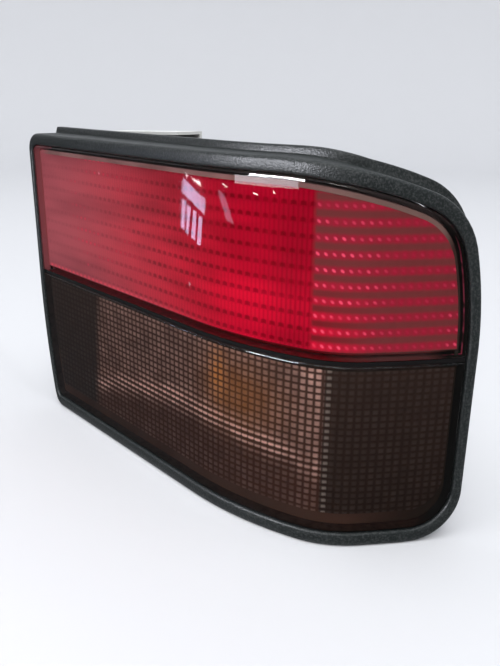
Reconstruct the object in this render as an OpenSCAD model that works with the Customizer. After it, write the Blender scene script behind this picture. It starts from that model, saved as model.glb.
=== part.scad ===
// Right-hand rear lamp cluster that wraps round the corner of the car.
// The lens face is a vertical wall that follows a plan curve: flat, bend, tight corner, side.
// Every outline is drawn on that face as s (along the curve) and z (up), then set back by d.

/* [Plan of the lens face] */
// Length of the flat, rear-facing stretch
flat_len = 160; // [140:1:180]
// Radius of the gentle bend after the flat stretch
bend_r = 188; // [160:4:220]
// Angle turned by the gentle bend
bend_angle = 20; // [16:1:24]
// Radius of the tight corner
corner_r = 51; // [44:1:60]
// Angle turned by the tight corner
corner_angle = 34; // [28:1:38]
// Radius of the stretch along the side of the car
side_r = 380; // [250:10:500]

/* [Lens outline] */
// Width of the lens pair along its face
lens_w = 302; // [280:1:320]
// Height of the lens pair
lens_h = 166; // [150:0.5:180]
// Radius of the long fall of the top edge
top_fall_r = 198; // [160:2:230]
// Angle of the long fall of the top edge
top_fall_angle = 20.5; // [17:0.5:24]
// Radius of the top outer corner
top_corner_r = 30; // [20:1:36]
// Radius of the bow in the outer edge
outer_bow_r = 190; // [150:5:260]
// Angle of the bow in the outer edge
outer_bow_angle = 14; // [10:1:16]
// Radius of the bottom outer corner
bottom_corner_r = 20.5; // [14:0.5:26]
// Radius of the top inner corner
inner_top_r = 5; // [4:0.5:9]
// Radius of the bottom inner corner
inner_bottom_r = 3; // [3:0.5:8]
// Radius of the bow in the inner edge
inner_bow_r = 430; // [300:10:600]
// Angle of the bow in the inner edge
inner_bow_angle = 11; // [8:1:13]

/* [Lenses] */
// Wall of both lenses
lens_wall = 2.8; // [2.2:0.1:3.5]
// Depth of the lens side wall from face to seal
lens_leg = 11; // [9:0.5:14]
// Thickness of the lens side wall
leg_wall = 2.4; // [2:0.1:3]
// Height of the joint between the two lenses, from the lens bottom
joint_z = 84.4; // [75:0.2:95]
// Width of the joint between the two lenses
joint_gap = 2.4; // [1.8:0.1:4]
// Pitch of the broad bands in the red lens
band_pitch = 7.3; // [6:0.1:9]
// Depth of the broad bands in the red lens
band_depth = 0.9; // [0.4:0.1:1.4]
// Pitch of the fine ribs in the smoked lens
rib_pitch = 3.4; // [3:0.1:5]
// Depth of the fine ribs in the smoked lens
rib_depth = 0.6; // [0.3:0.1:1]
// Plain border between a lens edge and its optics
optic_border = 4.6; // [3.5:0.1:6]

/* [Bezel] */
// Width of the bezel face along the top
bezel_top_w = 7.2; // [6:0.1:10]
// Width of the bezel face along the bottom
bezel_bottom_w = 7.3; // [5:0.1:9]
// Width of the bezel face at the outer end
bezel_outer_w = 6; // [5:0.1:9]
// Hollow between the lip and the wall of the bezel at the inner end
inner_room = 0.5; // [0.3:0.1:2]
// Wall of the bezel moulding
bezel_wall = 2.2; // [1.8:0.1:2.4]
// How far the bezel stands proud of the lens
bezel_proud = 1.2; // [0.5:0.1:2]
// Clearance between the bezel and the lens
bezel_gap = 0.5; // [0.3:0.1:0.8]
// Depth from the lens face to the set-back flange
flange_depth = 14; // [13:0.5:17]
// Thickness of the set-back flange
flange_t = 3.6; // [3:0.2:5]
// Height of the flange above the top of the bezel
flange_rise = 3.6; // [3:0.2:6]
// Reach of the flange beyond the bezel at the outer end
flange_side = 3.5; // [2:0.1:5]

/* [Housing] */
// Room between a bulb holder's floor and the back of the housing
back_room = 7.5; // [5:0.5:12]
// Wall of the housing
housing_wall = 2.4; // [2:0.1:3]
// Step in from the lens edge to the housing wall
housing_inset = 7; // [6:0.5:9]
// Width of the side chamber at the back of the housing
side_room = 20; // [18:1:30]
// Clearance between seated mouldings
fit_gap = 0.3; // [0.2:0.05:0.4]
// Length of the fixing bracket on top of the housing
bracket_len = 72; // [50:1:90]
// Distance of the fixing bracket from the inner end
bracket_x = 48; // [30:1:80]
// Height of the fixing bracket above the housing, at its inner end
bracket_rise = 16.8; // [14:0.2:18.4]
// Slope of the fixing bracket's top towards the outer end, in degrees
bracket_slope = 2; // [0:0.5:4]
// Thickness of the fixing bracket
bracket_t = 1.5; // [1:0.1:2.5]
// Diameter of the breather tube
breather_d = 9; // [7:0.5:12]

/* [Reflectors] */
// Thickness of a reflector
reflector_t = 1.6; // [1.2:0.1:2.2]
// Depth of the flat of a reflector behind the lens face
reflector_depth = 29; // [26:1:34]
// Depth of the bowl behind its flat
bowl_depth = 13; // [8:1:15]
// Radius of the bowl's mouth
bowl_r = 31; // [26:1:33]
// Clearance between a bulb and the hole that it passes through
bulb_hole_gap = 1; // [0.6:0.1:2]

/* [Bulbs] */
// Diameter of a bulb's glass
glass_d = 25; // [22:0.5:26]
// Diameter of a bulb's metal cap
cap_d = 15; // [14.5:0.1:16]
// Length of a bulb's metal cap
cap_len = 20; // [18:0.5:24]
// Depth of a bulb's centre behind the lens face
bulb_depth = 25; // [22:0.5:30]
// Distance of the stop bulb from the inner end
stop_x = 118; // [116:1:140]
// Distance of the indicator bulb from the inner end
turn_x = 160; // [150:1:168]
// Distance of the tail bulb from the inner end
tail_x = 56; // [50:1:60]

/* [Bulb carrier] */
// Reach of the bulb carrier beside its outermost bulbs
carrier_side = 22; // [18:1:26]
// Reach of the bulb carrier above and below its bulbs
carrier_rise = 19.7; // [17:0.1:22]
// Thickness of the bulb carrier
carrier_t = 3; // [2.4:0.1:4]
// Wall of a bulb holder
holder_wall = 2.7; // [2:0.1:3.5]
// Width of a contact strip
strip_w = 3; // [2.4:0.1:3.6]
// Thickness of a contact strip
strip_t = 0.8; // [0.5:0.1:1.2]
// Number of connector terminals
terminals_n = 4; // [4:1:6]
// Spacing of the connector terminals
terminal_pitch = 5; // [4:0.5:6]

/* [Fixings] */
// Diameter of the free end of a mounting stud
stud_d = 5; // [4:1:5]
// Diameter of the base of a stud, which its own nut holds in the housing
stud_base_d = 6; // [6:1:7]
// Length of a mounting stud behind the housing
stud_len = 22; // [16:1:28]
// Height of the lower studs above the bottom of the housing
stud_low = 11; // [10:0.5:14]
// Drop of the upper studs from the top of the housing
stud_drop = 26; // [22:0.5:30]
// Width across the flats of a stud nut
nut_af = 10; // [9:0.5:11]
// Height of a stud nut
nut_h = 5; // [4:0.5:6]
// Diameter of a washer
washer_d = 12; // [10:0.5:15]
// Thickness of a washer
washer_t = 1; // [0.8:0.1:1.6]
// Diameter of a locating peg
peg_d = 7; // [5:0.5:9]
// Length of a locating peg
peg_len = 9; // [6:0.5:12]
// Thickness of the foam gasket
gasket_t = 4; // [3:0.5:6]
// Width of the foam gasket
gasket_w = 5; // [4:0.5:6]

/* [Hidden] */
$fn = 48;

// Smallest radius or height that a rounded outline may shrink to
least = 0.4;
// Overlap that makes a cut run clean through
over = 1;
// The lens bottom stands above the ground by the width of the bezel
lens_base = bezel_bottom_w;

// Plan curve: lengths run so far at the end of each stretch
to_deg = 180 / PI;
bend_end = flat_len + bend_r * bend_angle / to_deg;
corner_end = bend_end + corner_r * corner_angle / to_deg;
bend_exit = [flat_len + bend_r * sin(bend_angle), bend_r * (1 - cos(bend_angle))];
side_heading = bend_angle + corner_angle;
corner_exit = bend_exit + sweep(corner_r, bend_angle, side_heading);

// Step made by an arc of radius r that turns left from heading a to heading b
function sweep(r, a, b) = r * [sin(b) - sin(a), cos(a) - cos(b)];

// Heading of the plan curve at the length s
function heading(s) =
    s < flat_len ? 0
    : s < bend_end ? (s - flat_len) / bend_r * to_deg
    : s < corner_end ? bend_angle + (s - bend_end) / corner_r * to_deg
    : side_heading + (s - corner_end) / side_r * to_deg;

// Place of the plan curve at the length s
function spot(s) =
    s < flat_len ? [s, 0]
    : s < bend_end ? [flat_len, 0] + sweep(bend_r, 0, heading(s))
    : s < corner_end ? bend_exit + sweep(corner_r, bend_angle, heading(s))
    : corner_exit + sweep(side_r, side_heading, heading(s));

// Point at s along the face, z above the lens bottom and d behind the face, before centring
function raw(s, z, d) =
    let (p = spot(s), h = heading(s))
    [p.x - sin(h) * d, p.y + cos(h) * d, z + lens_base];

// Arc of n steps about c from angle a to angle b
function arc(c, r, a, b, n) = [for (i = [0:n]) c + r * [cos(a + (b - a) * i / n), sin(a + (b - a) * i / n)]];

// Steps of a small round, and of a long shallow one
round_steps = 8;
bow_steps = 5;

// An outline is [left, right, bottom, top, growth of its radii]
function around(left, right, bottom, top, grow) = [left, right, bottom, top, grow];
function lens_outline(u) = around(-u, lens_w + u, -u, lens_h + u, u);
function grown(r, grow) = max(r + grow, least);

// Upper edge of an outline, from left to right
function upper(o) =
    let (
        g = o[4], rt = grown(inner_top_r, g), r1 = top_fall_r + g, r2 = grown(top_corner_r, g),
        r3 = outer_bow_r + g, a1 = 90 - top_fall_angle, a3 = outer_bow_angle,
        start = o[1] - r3 + (r3 - r2) * cos(a3) - (r1 - r2) * cos(a1),
        c1 = [start, o[3] - r1],
        c2 = c1 + (r1 - r2) * [cos(a1), sin(a1)],
        c3 = c2 - (r3 - r2) * [cos(a3), sin(a3)]
    )
    concat(
        arc([o[0] + rt, o[3] - rt], rt, 180, 90, round_steps),
        arc(c1, r1, 90, a1, bow_steps),
        arc(c2, r2, a1, a3, round_steps),
        arc(c3, r3, a3, 0, bow_steps)
    );

// Lower edge of an outline, from left to right
function lower(o) =
    let (
        g = o[4], r4 = inner_bow_r + g, r5 = grown(inner_bottom_r, g), r6 = grown(bottom_corner_r, g),
        a4 = 180 + inner_bow_angle,
        c4 = [o[0] + r4, o[2] + r5 - (r4 - r5) * sin(a4)],
        c5 = c4 + (r4 - r5) * [cos(a4), sin(a4)]
    )
    concat(
        arc(c4, r4, 180, a4, bow_steps),
        arc(c5, r5, a4, 270, round_steps),
        arc([o[1] - r6, o[2] + r6], r6, 270, 360, round_steps)
    );

// Stations along the face, as shares of an outline's width: close together at both ends
// and round the bends, far apart on the flat stretch
left_stops = 10;
left_step = 0.2;
flat_stops = 3;
right_stops = 8;
right_step = 0.68;
bend_stops = 6;
corner_stops = 9;
stops = concat(
    [for (i = [0:left_stops]) left_step * i * i],
    [for (i = [1:flat_stops]) left_step * left_stops * left_stops + flat_len * i / (flat_stops + 1)],
    [for (i = [0:bend_stops - 1]) flat_len + (bend_end - flat_len) * i / bend_stops],
    [for (i = [0:corner_stops]) bend_end + (corner_end - bend_end) * i / corner_stops],
    [for (i = [right_stops - 1:-1:0]) lens_w - right_step * i * i]
) / lens_w;
stops_n = len(stops);

// The parts of the face that a ring can go round
WHOLE = 0;
RED = 1;
SMOKED = 2;
red_bottom = joint_z + joint_gap;

// Heights of a part's lower and upper edges, along all stations of the outline o
function spread(o) = [for (q = stops) o[0] + (o[1] - o[0]) * q];
function low_line(part, o, run) =
    let (edge = lower(o))
    [for (s = run)
        [s, part == RED ? red_bottom - o[4]
            : part == SMOKED ? min(lookup(s, edge), joint_z + o[4] - least)
            : lookup(s, edge)]];
function high_line(part, o, run) =
    let (edge = upper(o))
    [for (s = run)
        [s, part == SMOKED ? joint_z + o[4]
            : part == RED ? max(lookup(s, edge), red_bottom - o[4] + least)
            : lookup(s, edge)]];
function reversed(v) = [for (i = [len(v) - 1:-1:0]) v[i]];
// Closed loop of stations round a part: along the bottom, then back along the top
function loop_at(part, o, run) = concat(low_line(part, o, run), reversed(high_line(part, o, run)));
function loop(part, o) = loop_at(part, o, spread(o));
// The loop between two loops, at the share t of the way
function between(a, b, t) = [for (i = [0:len(a) - 1]) a[i] * (1 - t) + b[i] * t];

// Outlines of the bezel: its outer edge, the inside of its wall and the flange behind
bezel_inner_w = bezel_gap + inner_room + bezel_wall;
bezel_edge = around(-bezel_inner_w, lens_w + bezel_outer_w, -bezel_bottom_w, lens_h + bezel_top_w,
    bezel_outer_w);
wall_edge = around(bezel_wall - bezel_inner_w, lens_w + bezel_outer_w - bezel_wall,
    bezel_wall - bezel_bottom_w, lens_h + bezel_top_w - bezel_wall, bezel_outer_w - bezel_wall);
flange_edge = around(-bezel_inner_w, lens_w + bezel_outer_w + flange_side, -bezel_bottom_w,
    lens_h + bezel_top_w + flange_rise, bezel_outer_w);

// Share of the rim's width, and of its height, at each step of its rounded front
rim_front = [[0, 0.3], [0.12, 0.85], [0.45, 1], [0.78, 0.8]];

// The flange stands out along the top, starts short of the inner end and dies away down the outer edge
flange_start = 6;
flange_fade = 40;
bezel_loop = loop(WHOLE, bezel_edge);
function flange_share(p) = p.x < flange_start ? 0 : min(1, max(0, (p.y - joint_z) / flange_fade));
flange_loop = let (f = loop(WHOLE, flange_edge), n = len(f))
    [for (i = [0:n - 1]) bezel_loop[i] + (f[i] - bezel_loop[i]) * (i < stops_n ? 0 : flange_share(f[i]))];
flange_back = flange_depth + flange_t;

// The housing's own flange: its front, its back and how far it reaches past the lens edge
seal_room = 2;
seat_front = lens_leg + seal_room;
seat_back = flange_back;
seat_reach = bezel_gap - 0.1;

// Depths behind the lens face, from the bulbs back to the housing
neck_len = 1.5;
cap_front = bulb_depth + glass_d / 2 + neck_len;
cap_back = cap_front + cap_len;
contact_h = 1.5;
contact_room = 1;
holder_floor = cap_back + contact_h + contact_room;
tub_back = holder_floor + back_room;
tub_floor = tub_back - housing_wall;
// Line of the bezel's rear return, clear of the housing's flange
return_u = seat_reach + fit_gap;

// Centring: the origin is at the middle of the whole lamp, on the ground
outer_end = [for (t = rim_front)
    raw(lens_w + bezel_gap + (bezel_outer_w - bezel_gap) * t[0], 0, -bezel_proud * t[1])];
widest = max([for (p = outer_end) p.x]);
rearmost = tub_back + stud_len;
mid_x = (widest - bezel_inner_w) / 2;
mid_y = (rearmost - bezel_proud) / 2;
function face(s, z, d) = raw(s, z, d) - [mid_x, mid_y, 0];
function lift(points, d) = [for (p = points) face(p[0], p[1], d)];

// Closed solid through a stack of rings that ends where it began
module ring_solid(rings) {
    m = len(rings);
    n = len(rings[0]);
    polyhedron(
        points = [for (r = rings) for (p = r) p],
        faces = [for (i = [0:m - 1]) for (j = [0:n - 1])
            [i * n + j, i * n + (j + 1) % n, ((i + 1) % m) * n + (j + 1) % n, ((i + 1) % m) * n + j]]
    );
}

// Square-edged ring round the whole face, from u_in to u_out and from d1 to d2
module flat_ring(u_in, u_out, d1, d2) {
    a = loop(WHOLE, lens_outline(u_in));
    b = loop(WHOLE, lens_outline(u_out));
    ring_solid([lift(a, d1), lift(b, d1), lift(b, d2), lift(a, d2)]);
}

// Lens: a bevelled face, side walls all round, and optics inside the face as rows of ridges
edge_bevel = 0.7;
module lens(part, pitch, depth) {
    n = stops_n;
    m = 2 * n;
    inner = lens_outline(-leg_wall);
    lo = low_line(part, inner, spread(inner));
    hi = high_line(part, inner, spread(inner));
    rings = [
        lift(loop(part, lens_outline(-edge_bevel)), 0),
        lift(loop(part, lens_outline(0)), edge_bevel),
        lift(loop(part, lens_outline(0)), lens_leg),
        lift(loop(part, inner), lens_leg),
        lift(loop(part, inner), lens_wall)
    ];
    first = part == RED ? red_bottom + optic_border : optic_border;
    last = part == RED ? lens_h - optic_border : joint_z - optic_border;
    rows = 2 * floor((last - first) / pitch);
    // A row stays inside the edges, and is a ridge only where nothing presses it
    function row_z(k, j) = let (z = first + k * pitch / 2)
        min(max(z, lo[j][1] + k * least / 10 + least / 10), hi[j][1] - (rows - k) * least / 10 - least / 10);
    function is_ridge(k, j) = let (z = first + k * pitch / 2)
        k % 2 == 1 && z > lo[j][1] + optic_border && z < hi[j][1] - optic_border
        && lo[j][0] > optic_border && lo[j][0] < lens_w - optic_border;
    grid = [for (k = [0:rows]) for (j = [1:n - 2])
        face(lo[j][0] + (hi[j][0] - lo[j][0]) * k / rows, row_z(k, j),
            lens_wall + (is_ridge(k, j) ? depth : 0))];
    skin = 5 * m;
    last_ring = 4 * m;
    function at(k, j) = k < 0 ? last_ring + j : k > rows ? last_ring + m - 1 - j : skin + k * (n - 2) + j - 1;
    polyhedron(
        points = concat([for (r = rings) for (p = r) p], grid),
        faces = concat(
            [for (j = [0:n - 2]) [j, m - 1 - j, m - 2 - j, j + 1]],
            [for (i = [0:3]) for (j = [0:m - 1])
                [i * m + j, i * m + (j + 1) % m, (i + 1) * m + (j + 1) % m, (i + 1) * m + j]],
            [for (k = [-1:rows]) for (j = [1:n - 3]) [at(k, j), at(k, j + 1), at(k + 1, j + 1), at(k + 1, j)]],
            [for (k = [-1:rows]) [at(-1, 0), at(k, 1), at(k + 1, 1)]],
            [[at(-1, 0), at(rows + 1, 1), at(rows + 1, 0)]],
            [for (k = [-1:rows]) [at(-1, n - 1), at(k + 1, n - 2), at(k, n - 2)]],
            [[at(-1, n - 1), at(rows + 1, n - 1), at(rows + 1, n - 2)]]
        )
    );
}

module red_lens() {
    color("crimson") lens(RED, band_pitch, band_depth);
}

module smoked_lens() {
    color("dimgray") lens(SMOKED, rib_pitch, rib_depth);
}

// Bezel: rounded front rim, outer wall, set-back flange and a rear return, as one moulding
module bezel() {
    lip = loop(WHOLE, lens_outline(bezel_gap));
    ret = loop(WHOLE, lens_outline(return_u));
    wall = loop(WHOLE, wall_edge);
    skin = bezel_wall + edge_bevel;
    shoulder = 0.94;
    front = [for (t = rim_front) lift(between(lip, bezel_loop, t[0]), -bezel_proud * t[1])];
    sides = [
        lift(between(lip, bezel_loop, shoulder), edge_bevel / 2),
        lift(bezel_loop, 2 * edge_bevel), lift(bezel_loop, flange_depth),
        lift(flange_loop, flange_depth + edge_bevel / 2), lift(flange_loop, flange_back),
        lift(ret, flange_back), lift(ret, flange_depth),
        lift(wall, flange_depth), lift(wall, skin), lift(lip, skin), lift(lip, edge_bevel)
    ];
    color("#222325") ring_solid(concat(front, sides));
}

// Air left between two faces that rest on each other
seat = 0.05;

// Moves a solid drawn from the lens inner end, the flat of the face and the ground
module placed() {
    translate([-mid_x, -mid_y, 0]) children();
}

// Round bar along +Y whose near end is at p
module bar(p, r, len) {
    translate(p) rotate([-90, 0, 0]) cylinder(r = r, h = len);
}

// Solid of revolution about the Y axis through [x, z]; the profile is [radius, y]
module turned(x, z, profile) {
    translate([x, 0, z]) rotate([-90, 0, 0]) rotate_extrude() polygon(profile);
}

// Block given by its two corners
module block(a, b) {
    translate(a) cube(b - a);
}

// Strip between the two lenses
strip_gap = 0.2;
strip_set = 0.8;
module joint_strip() {
    z1 = joint_z + strip_gap;
    z2 = red_bottom - strip_gap;
    run = [for (q = stops) strip_gap + (lens_w - 2 * strip_gap) * q];
    n = stops_n;
    rings = [for (c = [[z1, strip_set], [z2, strip_set], [z2, lens_leg], [z1, lens_leg]])
        [for (s = run) face(s, c[0], c[1])]];
    color("#111111") polyhedron(
        points = [for (r = rings) for (p = r) p],
        faces = concat(
            [for (i = [0:3]) for (j = [0:n - 2])
                [i * n + j, ((i + 1) % 4) * n + j, ((i + 1) % 4) * n + j + 1, i * n + j + 1]],
            [[0, 3 * n, 2 * n, n], [n - 1, 2 * n - 1, 3 * n - 1, 4 * n - 1]]
        )
    );
}

// Seal between the lens side walls and the housing's flange
module lens_seal() {
    color("#2b2b2b") flat_ring(-leg_wall, 0, lens_leg + seat, seat_front - seat);
}

// Foam gasket that seals the lamp to the body, behind the flange
gasket_inset = 1.5;
module body_gasket() {
    color("#33353a") flat_ring(-gasket_inset - gasket_w, -gasket_inset,
        seat_back + fit_gap, seat_back + gasket_t);
}

// Housing: the tub is the meeting of a plan and an elevation
end_inset = 24;
tub_bottom = lens_base + housing_inset;
tub_top = lens_base + lens_h - housing_inset;
elevation_d = seat_back + gasket_t;
tub_right = raw(lens_w - end_inset, 0, elevation_d).x;
room_h = lens_base + lens_h;
module elevation(inset, y1, y2) {
    o = around(inset, lens_w - end_inset - inset + housing_inset, inset, lens_h - inset, -inset);
    pts = [for (q = loop(WHOLE, o)) let (p = raw(q[0], q[1], elevation_d)) [p.x, -p.z]];
    translate([0, y1, 0]) rotate([-90, 0, 0]) linear_extrude(y2 - y1) polygon(pts);
}
module plan(d, y2, z1, z2) {
    o = [for (q = stops) let (p = raw(lens_w * q, 0, d)) [p.x, p.y]];
    end_x = lookup(y2, [for (p = o) [p.y, p.x]]);
    translate([0, 0, z1]) linear_extrude(z2 - z1)
        polygon(concat([for (p = o) if (p.y < y2) p], [[end_x, y2], [-over, y2], [-over, 0]]));
}

// Layout of the chambers, bulbs and carrier
mid_wall = housing_wall / 2;
chamber_x = tub_right - side_room;
shelf_z = lens_base + joint_z + joint_gap / 2;
shelf_front = lens_leg + seal_room / 2;
upper_z = (shelf_z + mid_wall + tub_top - housing_wall) / 2;
lower_z = (tub_bottom + housing_wall + shelf_z - mid_wall) / 2;
bulbs = [[stop_x, upper_z], [tail_x, upper_z], [turn_x, lower_z]];
carrier_mid = [(tail_x + turn_x) / 2, (upper_z + lower_z) / 2];
carrier_w = turn_x - tail_x + 2 * carrier_side;
carrier_h = upper_z - lower_z + 2 * carrier_rise;
carrier_left = carrier_mid.x - carrier_w / 2;
carrier_right = carrier_mid.x + carrier_w / 2;

// The carrier covers a window in the housing's back, with a soft seal between them
window_lap = 6.5;
window_w = carrier_w - 2 * window_lap;
window_h = carrier_h - 2 * window_lap;
window_round = 8;
carrier_seal_t = 1.2;
carrier_front = tub_back + carrier_seal_t;
carrier_back = carrier_front + carrier_t;

// Studs: one pair beside the carrier, one pair in the side chamber
stud_left = (housing_inset + housing_wall + carrier_left) / 2;
stud_right = (chamber_x + mid_wall + tub_right - housing_wall) / 2;
stud_bottom = tub_bottom + stud_low;
stud_top = tub_top - stud_drop;
stud_spots = [for (x = [stud_left, stud_right]) for (z = [stud_bottom, stud_top]) [x, z]];
stud_mid = [(stud_left + stud_right) / 2, (stud_bottom + stud_top) / 2];
stud_span_x = stud_right - stud_left;
stud_span_z = stud_top - stud_bottom;
stud_clear = 0.25;
stud_hole_r = stud_base_d / 2 + stud_clear;

// Locating pegs, breather tube, and hooks that hold the carrier
peg_beside = 16;
peg_rise = 40;
peg_spots = [for (j = [-1, 1]) [carrier_right + peg_beside, carrier_mid.y + j * peg_rise]];
breather_spot = [stud_right, carrier_mid.y];
breather_bore = breather_d / 4;
breather_len = 8;
hook_w = 24;
hook_t = 4;
hook_over = 3;
hook_nose = 2;

// Stiffening ribs that run back along the top and the underside of the tub
gusset_n = 7;
gusset_pitch = 26;
gusset_x = 22;
gusset_h = 3;
gusset_t = 2;
gusset_front = elevation_d + 6;
gusset_back = tub_back - 6;
gusset_spots = [for (i = [0:gusset_n - 1]) gusset_x + i * gusset_pitch];

// Window with rounded corners, from y1 to y2
module rounded_window(mid, w, h, r, y1, y2) {
    translate([mid.x, y1, mid.y]) rotate([-90, 0, 0]) linear_extrude(y2 - y1) union() {
        square([w - 2 * r, h], center = true);
        square([w, h - 2 * r], center = true);
        for (i = [-1, 1]) for (j = [-1, 1]) translate([i * (w / 2 - r), j * (h / 2 - r)]) circle(r);
    }
}

// Rib whose height falls from h at the front to nothing at the back
module gusset(x, z, h) {
    translate([x - gusset_t / 2, 0, z]) rotate([90, 0, 90]) linear_extrude(gusset_t)
        polygon([[gusset_front, -sign(h)], [gusset_front, h], [gusset_back, 0], [gusset_back, -sign(h)]]);
}

// Hook on the side i of the carrier: a post, and a nose over the carrier's edge
module hook(i) {
    edge = i < 0 ? carrier_left - fit_gap : carrier_right + fit_gap;
    low = carrier_mid.y - hook_w / 2;
    high = carrier_mid.y + hook_w / 2;
    block([min(edge, edge + i * hook_t), tub_back - mid_wall, low],
        [max(edge, edge + i * hook_t), carrier_back + hook_nose, high]);
    block([min(edge - i * hook_over, edge + i), carrier_back + seat, low],
        [max(edge - i * hook_over, edge + i), carrier_back + hook_nose, high]);
}

// Fixing bracket: place and size of its foot and leaf, its rivets and its hole
bracket_y = 38;
bracket_foot = 17;
bracket_leaf = 15;
bracket_hole_r = 3;
bracket_end = bracket_x + bracket_len;
bracket_top = tub_top + bracket_rise;
bracket_gain = bracket_len * tan(bracket_slope);
rivet_r = 1.6;
rivet_clear = 0.15;
rivet_from_end = 10;
rivet_y = bracket_y + bracket_t + (bracket_foot - bracket_t) / 2;
rivet_spots = [[bracket_x + rivet_from_end, rivet_y], [bracket_end - rivet_from_end, rivet_y]];

module tub() {
    difference() {
        union() {
            difference() {
                intersection() {
                    elevation(housing_inset, -over, tub_back);
                    plan((seat_front + seat_back) / 2, tub_back, 0, room_h + over);
                }
                elevation(housing_inset + housing_wall, -2 * over, tub_floor);
            }
            // Shelf between the chambers and the wall of the side chamber
            intersection() {
                elevation(housing_inset + mid_wall, -over, tub_back - mid_wall);
                plan(shelf_front, tub_back - mid_wall, over, room_h);
                union() {
                    block([0, -over, shelf_z - mid_wall], [lens_w, tub_back, shelf_z + mid_wall]);
                    block([chamber_x - mid_wall, -over, 0], [chamber_x + mid_wall, tub_back, room_h]);
                }
            }
            for (p = peg_spots) bar([p.x, tub_back - mid_wall, p.y], peg_d / 2, peg_len + mid_wall);
            bar([breather_spot.x, tub_back - mid_wall, breather_spot.y],
                breather_d / 2, breather_len + mid_wall);
            for (i = [-1, 1]) hook(i);
            for (x = gusset_spots) gusset(x, tub_bottom, -gusset_h);
            for (x = gusset_spots) if (x < bracket_x - gusset_t || x > bracket_end + gusset_t)
                gusset(x, tub_top, gusset_h);
        }
        rounded_window(carrier_mid, window_w, window_h, window_round, tub_floor - over, tub_back + over);
        for (p = stud_spots) bar([p.x, tub_floor - over, p.y], stud_hole_r, housing_wall + 2 * over);
        bar([breather_spot.x, tub_floor - over, breather_spot.y],
            breather_bore, breather_len + housing_wall + 2 * over);
        for (p = rivet_spots) translate([p.x, p.y, tub_top - housing_wall - over])
            cylinder(r = rivet_r + rivet_clear, h = housing_wall + 2 * over);
    }
}

// Housing: the tub with a flange that follows the face and stands inside the bezel
flange_lap = 4;
module housing() {
    inset = housing_inset + mid_wall;
    inner = around(inset, lens_w - end_inset - mid_wall, inset, lens_h - housing_inset - flange_lap, -inset);
    reach = lens_outline(seat_reach);
    outer = loop(WHOLE, reach);
    // The inner loop keeps the stations of the outer one, so that the flange lies flat on the face's curve
    step = least / 8;
    run = let (r = spread(reach)) [for (i = [0:stops_n - 1])
        max(inner[0] + step * i, min(inner[1] - step * (stops_n - 1 - i), r[i]))];
    hole = loop_at(WHOLE, inner, run);
    color("#1c1c1e") union() {
        ring_solid([
            lift(hole, seat_front), lift(outer, seat_front), lift(outer, seat_back), lift(hole, seat_back)
        ]);
        placed() tub();
    }
}

// Reflectors: a tray that fills its chamber, with a bowl round each bulb
tray_front = seat_back + housing_wall;
bulb_hole_r = glass_d / 2 + bulb_hole_gap;
bowl_ball = (bowl_r * bowl_r + bowl_depth * bowl_depth) / (2 * bowl_depth);
bowl_steps = 10;
function bowl_arc(r) = let (far = acos((bowl_ball - bowl_depth) / r), near = asin(bulb_hole_r / r))
    [for (i = [0:bowl_steps]) let (a = far + (near - far) * i / bowl_steps)
        [r * sin(a), reflector_depth + bowl_depth - bowl_ball + r * cos(a)]];
module tray(x1, x2, z1, z2, spots) {
    back = reflector_depth + reflector_t;
    inset = housing_inset + housing_wall + fit_gap;
    difference() {
        union() {
            difference() {
                intersection() {
                    elevation(inset, -over, back);
                    plan(tray_front, back, z1, z2);
                    block([x1, -over, z1], [x2, back, z2]);
                }
                intersection() {
                    elevation(inset + reflector_t, -over, reflector_depth);
                    block([x1 - over, -over, z1 + reflector_t],
                        [x2 - reflector_t, reflector_depth, z2 - reflector_t]);
                }
            }
            for (p = spots) turned(p.x, p.y,
                concat(bowl_arc(bowl_ball + reflector_t),
                    [[0, back + bowl_depth], [0, reflector_depth + least]]));
        }
        for (p = spots) {
            turned(p.x, p.y, concat([[bowl_r, reflector_depth - least]], bowl_arc(bowl_ball),
                [[0, reflector_depth + bowl_depth], [0, reflector_depth - least]]));
            bar([p.x, tray_front, p.y], bulb_hole_r, back + bowl_depth);
        }
    }
}
tray_right = chamber_x - mid_wall - fit_gap;
module upper_reflector() {
    color("#c9cbd0") placed() tray(0, tray_right, shelf_z + mid_wall + fit_gap, room_h, [bulbs[0], bulbs[1]]);
}
module lower_reflector() {
    color("#c9cbd0") placed() tray(0, tray_right, 0, shelf_z - mid_wall - fit_gap, [bulbs[2]]);
}

// Bulbs: a glass balloon on a neck, set in a metal cap with two pins
neck_r = cap_d / 2 - 0.8;
neck_in = 6;
neck_gap = 0.1;
glass_steps = 12;
contact_r = 2.6;
contact_taper = 0.6;
cap_round = 1;
pin_r = 1;
pin_out = 1.2;
pin_in = 0.5;
pin_y = cap_front + cap_len * 0.65;
module bulb_glass(p) {
    r = glass_d / 2;
    join = asin(neck_r / r);
    placed() turned(p.x, p.y, concat(
        [for (i = [0:glass_steps]) let (a = 180 - (180 - join) * i / glass_steps)
            [r * sin(a), bulb_depth + r * cos(a)]],
        [[neck_r, cap_front + neck_in], [0, cap_front + neck_in]]
    ));
}
module bulb_cap(p) {
    inside = neck_r + neck_gap;
    inner_end = cap_front + neck_in + neck_gap;
    placed() {
        turned(p.x, p.y, [
            [inside, cap_front], [cap_d / 2, cap_front], [cap_d / 2, cap_back - cap_round],
            [cap_d / 2 - cap_round, cap_back], [contact_r, cap_back],
            [contact_r - contact_taper, cap_back + contact_h], [0, cap_back + contact_h],
            [0, inner_end], [inside, inner_end]
        ]);
        for (i = [-1, 1]) translate([p.x + i * (cap_d / 2 - pin_in), pin_y, p.y]) rotate([0, i * 90, 0])
            cylinder(r = pin_r, h = pin_out + pin_in);
    }
}

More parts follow.
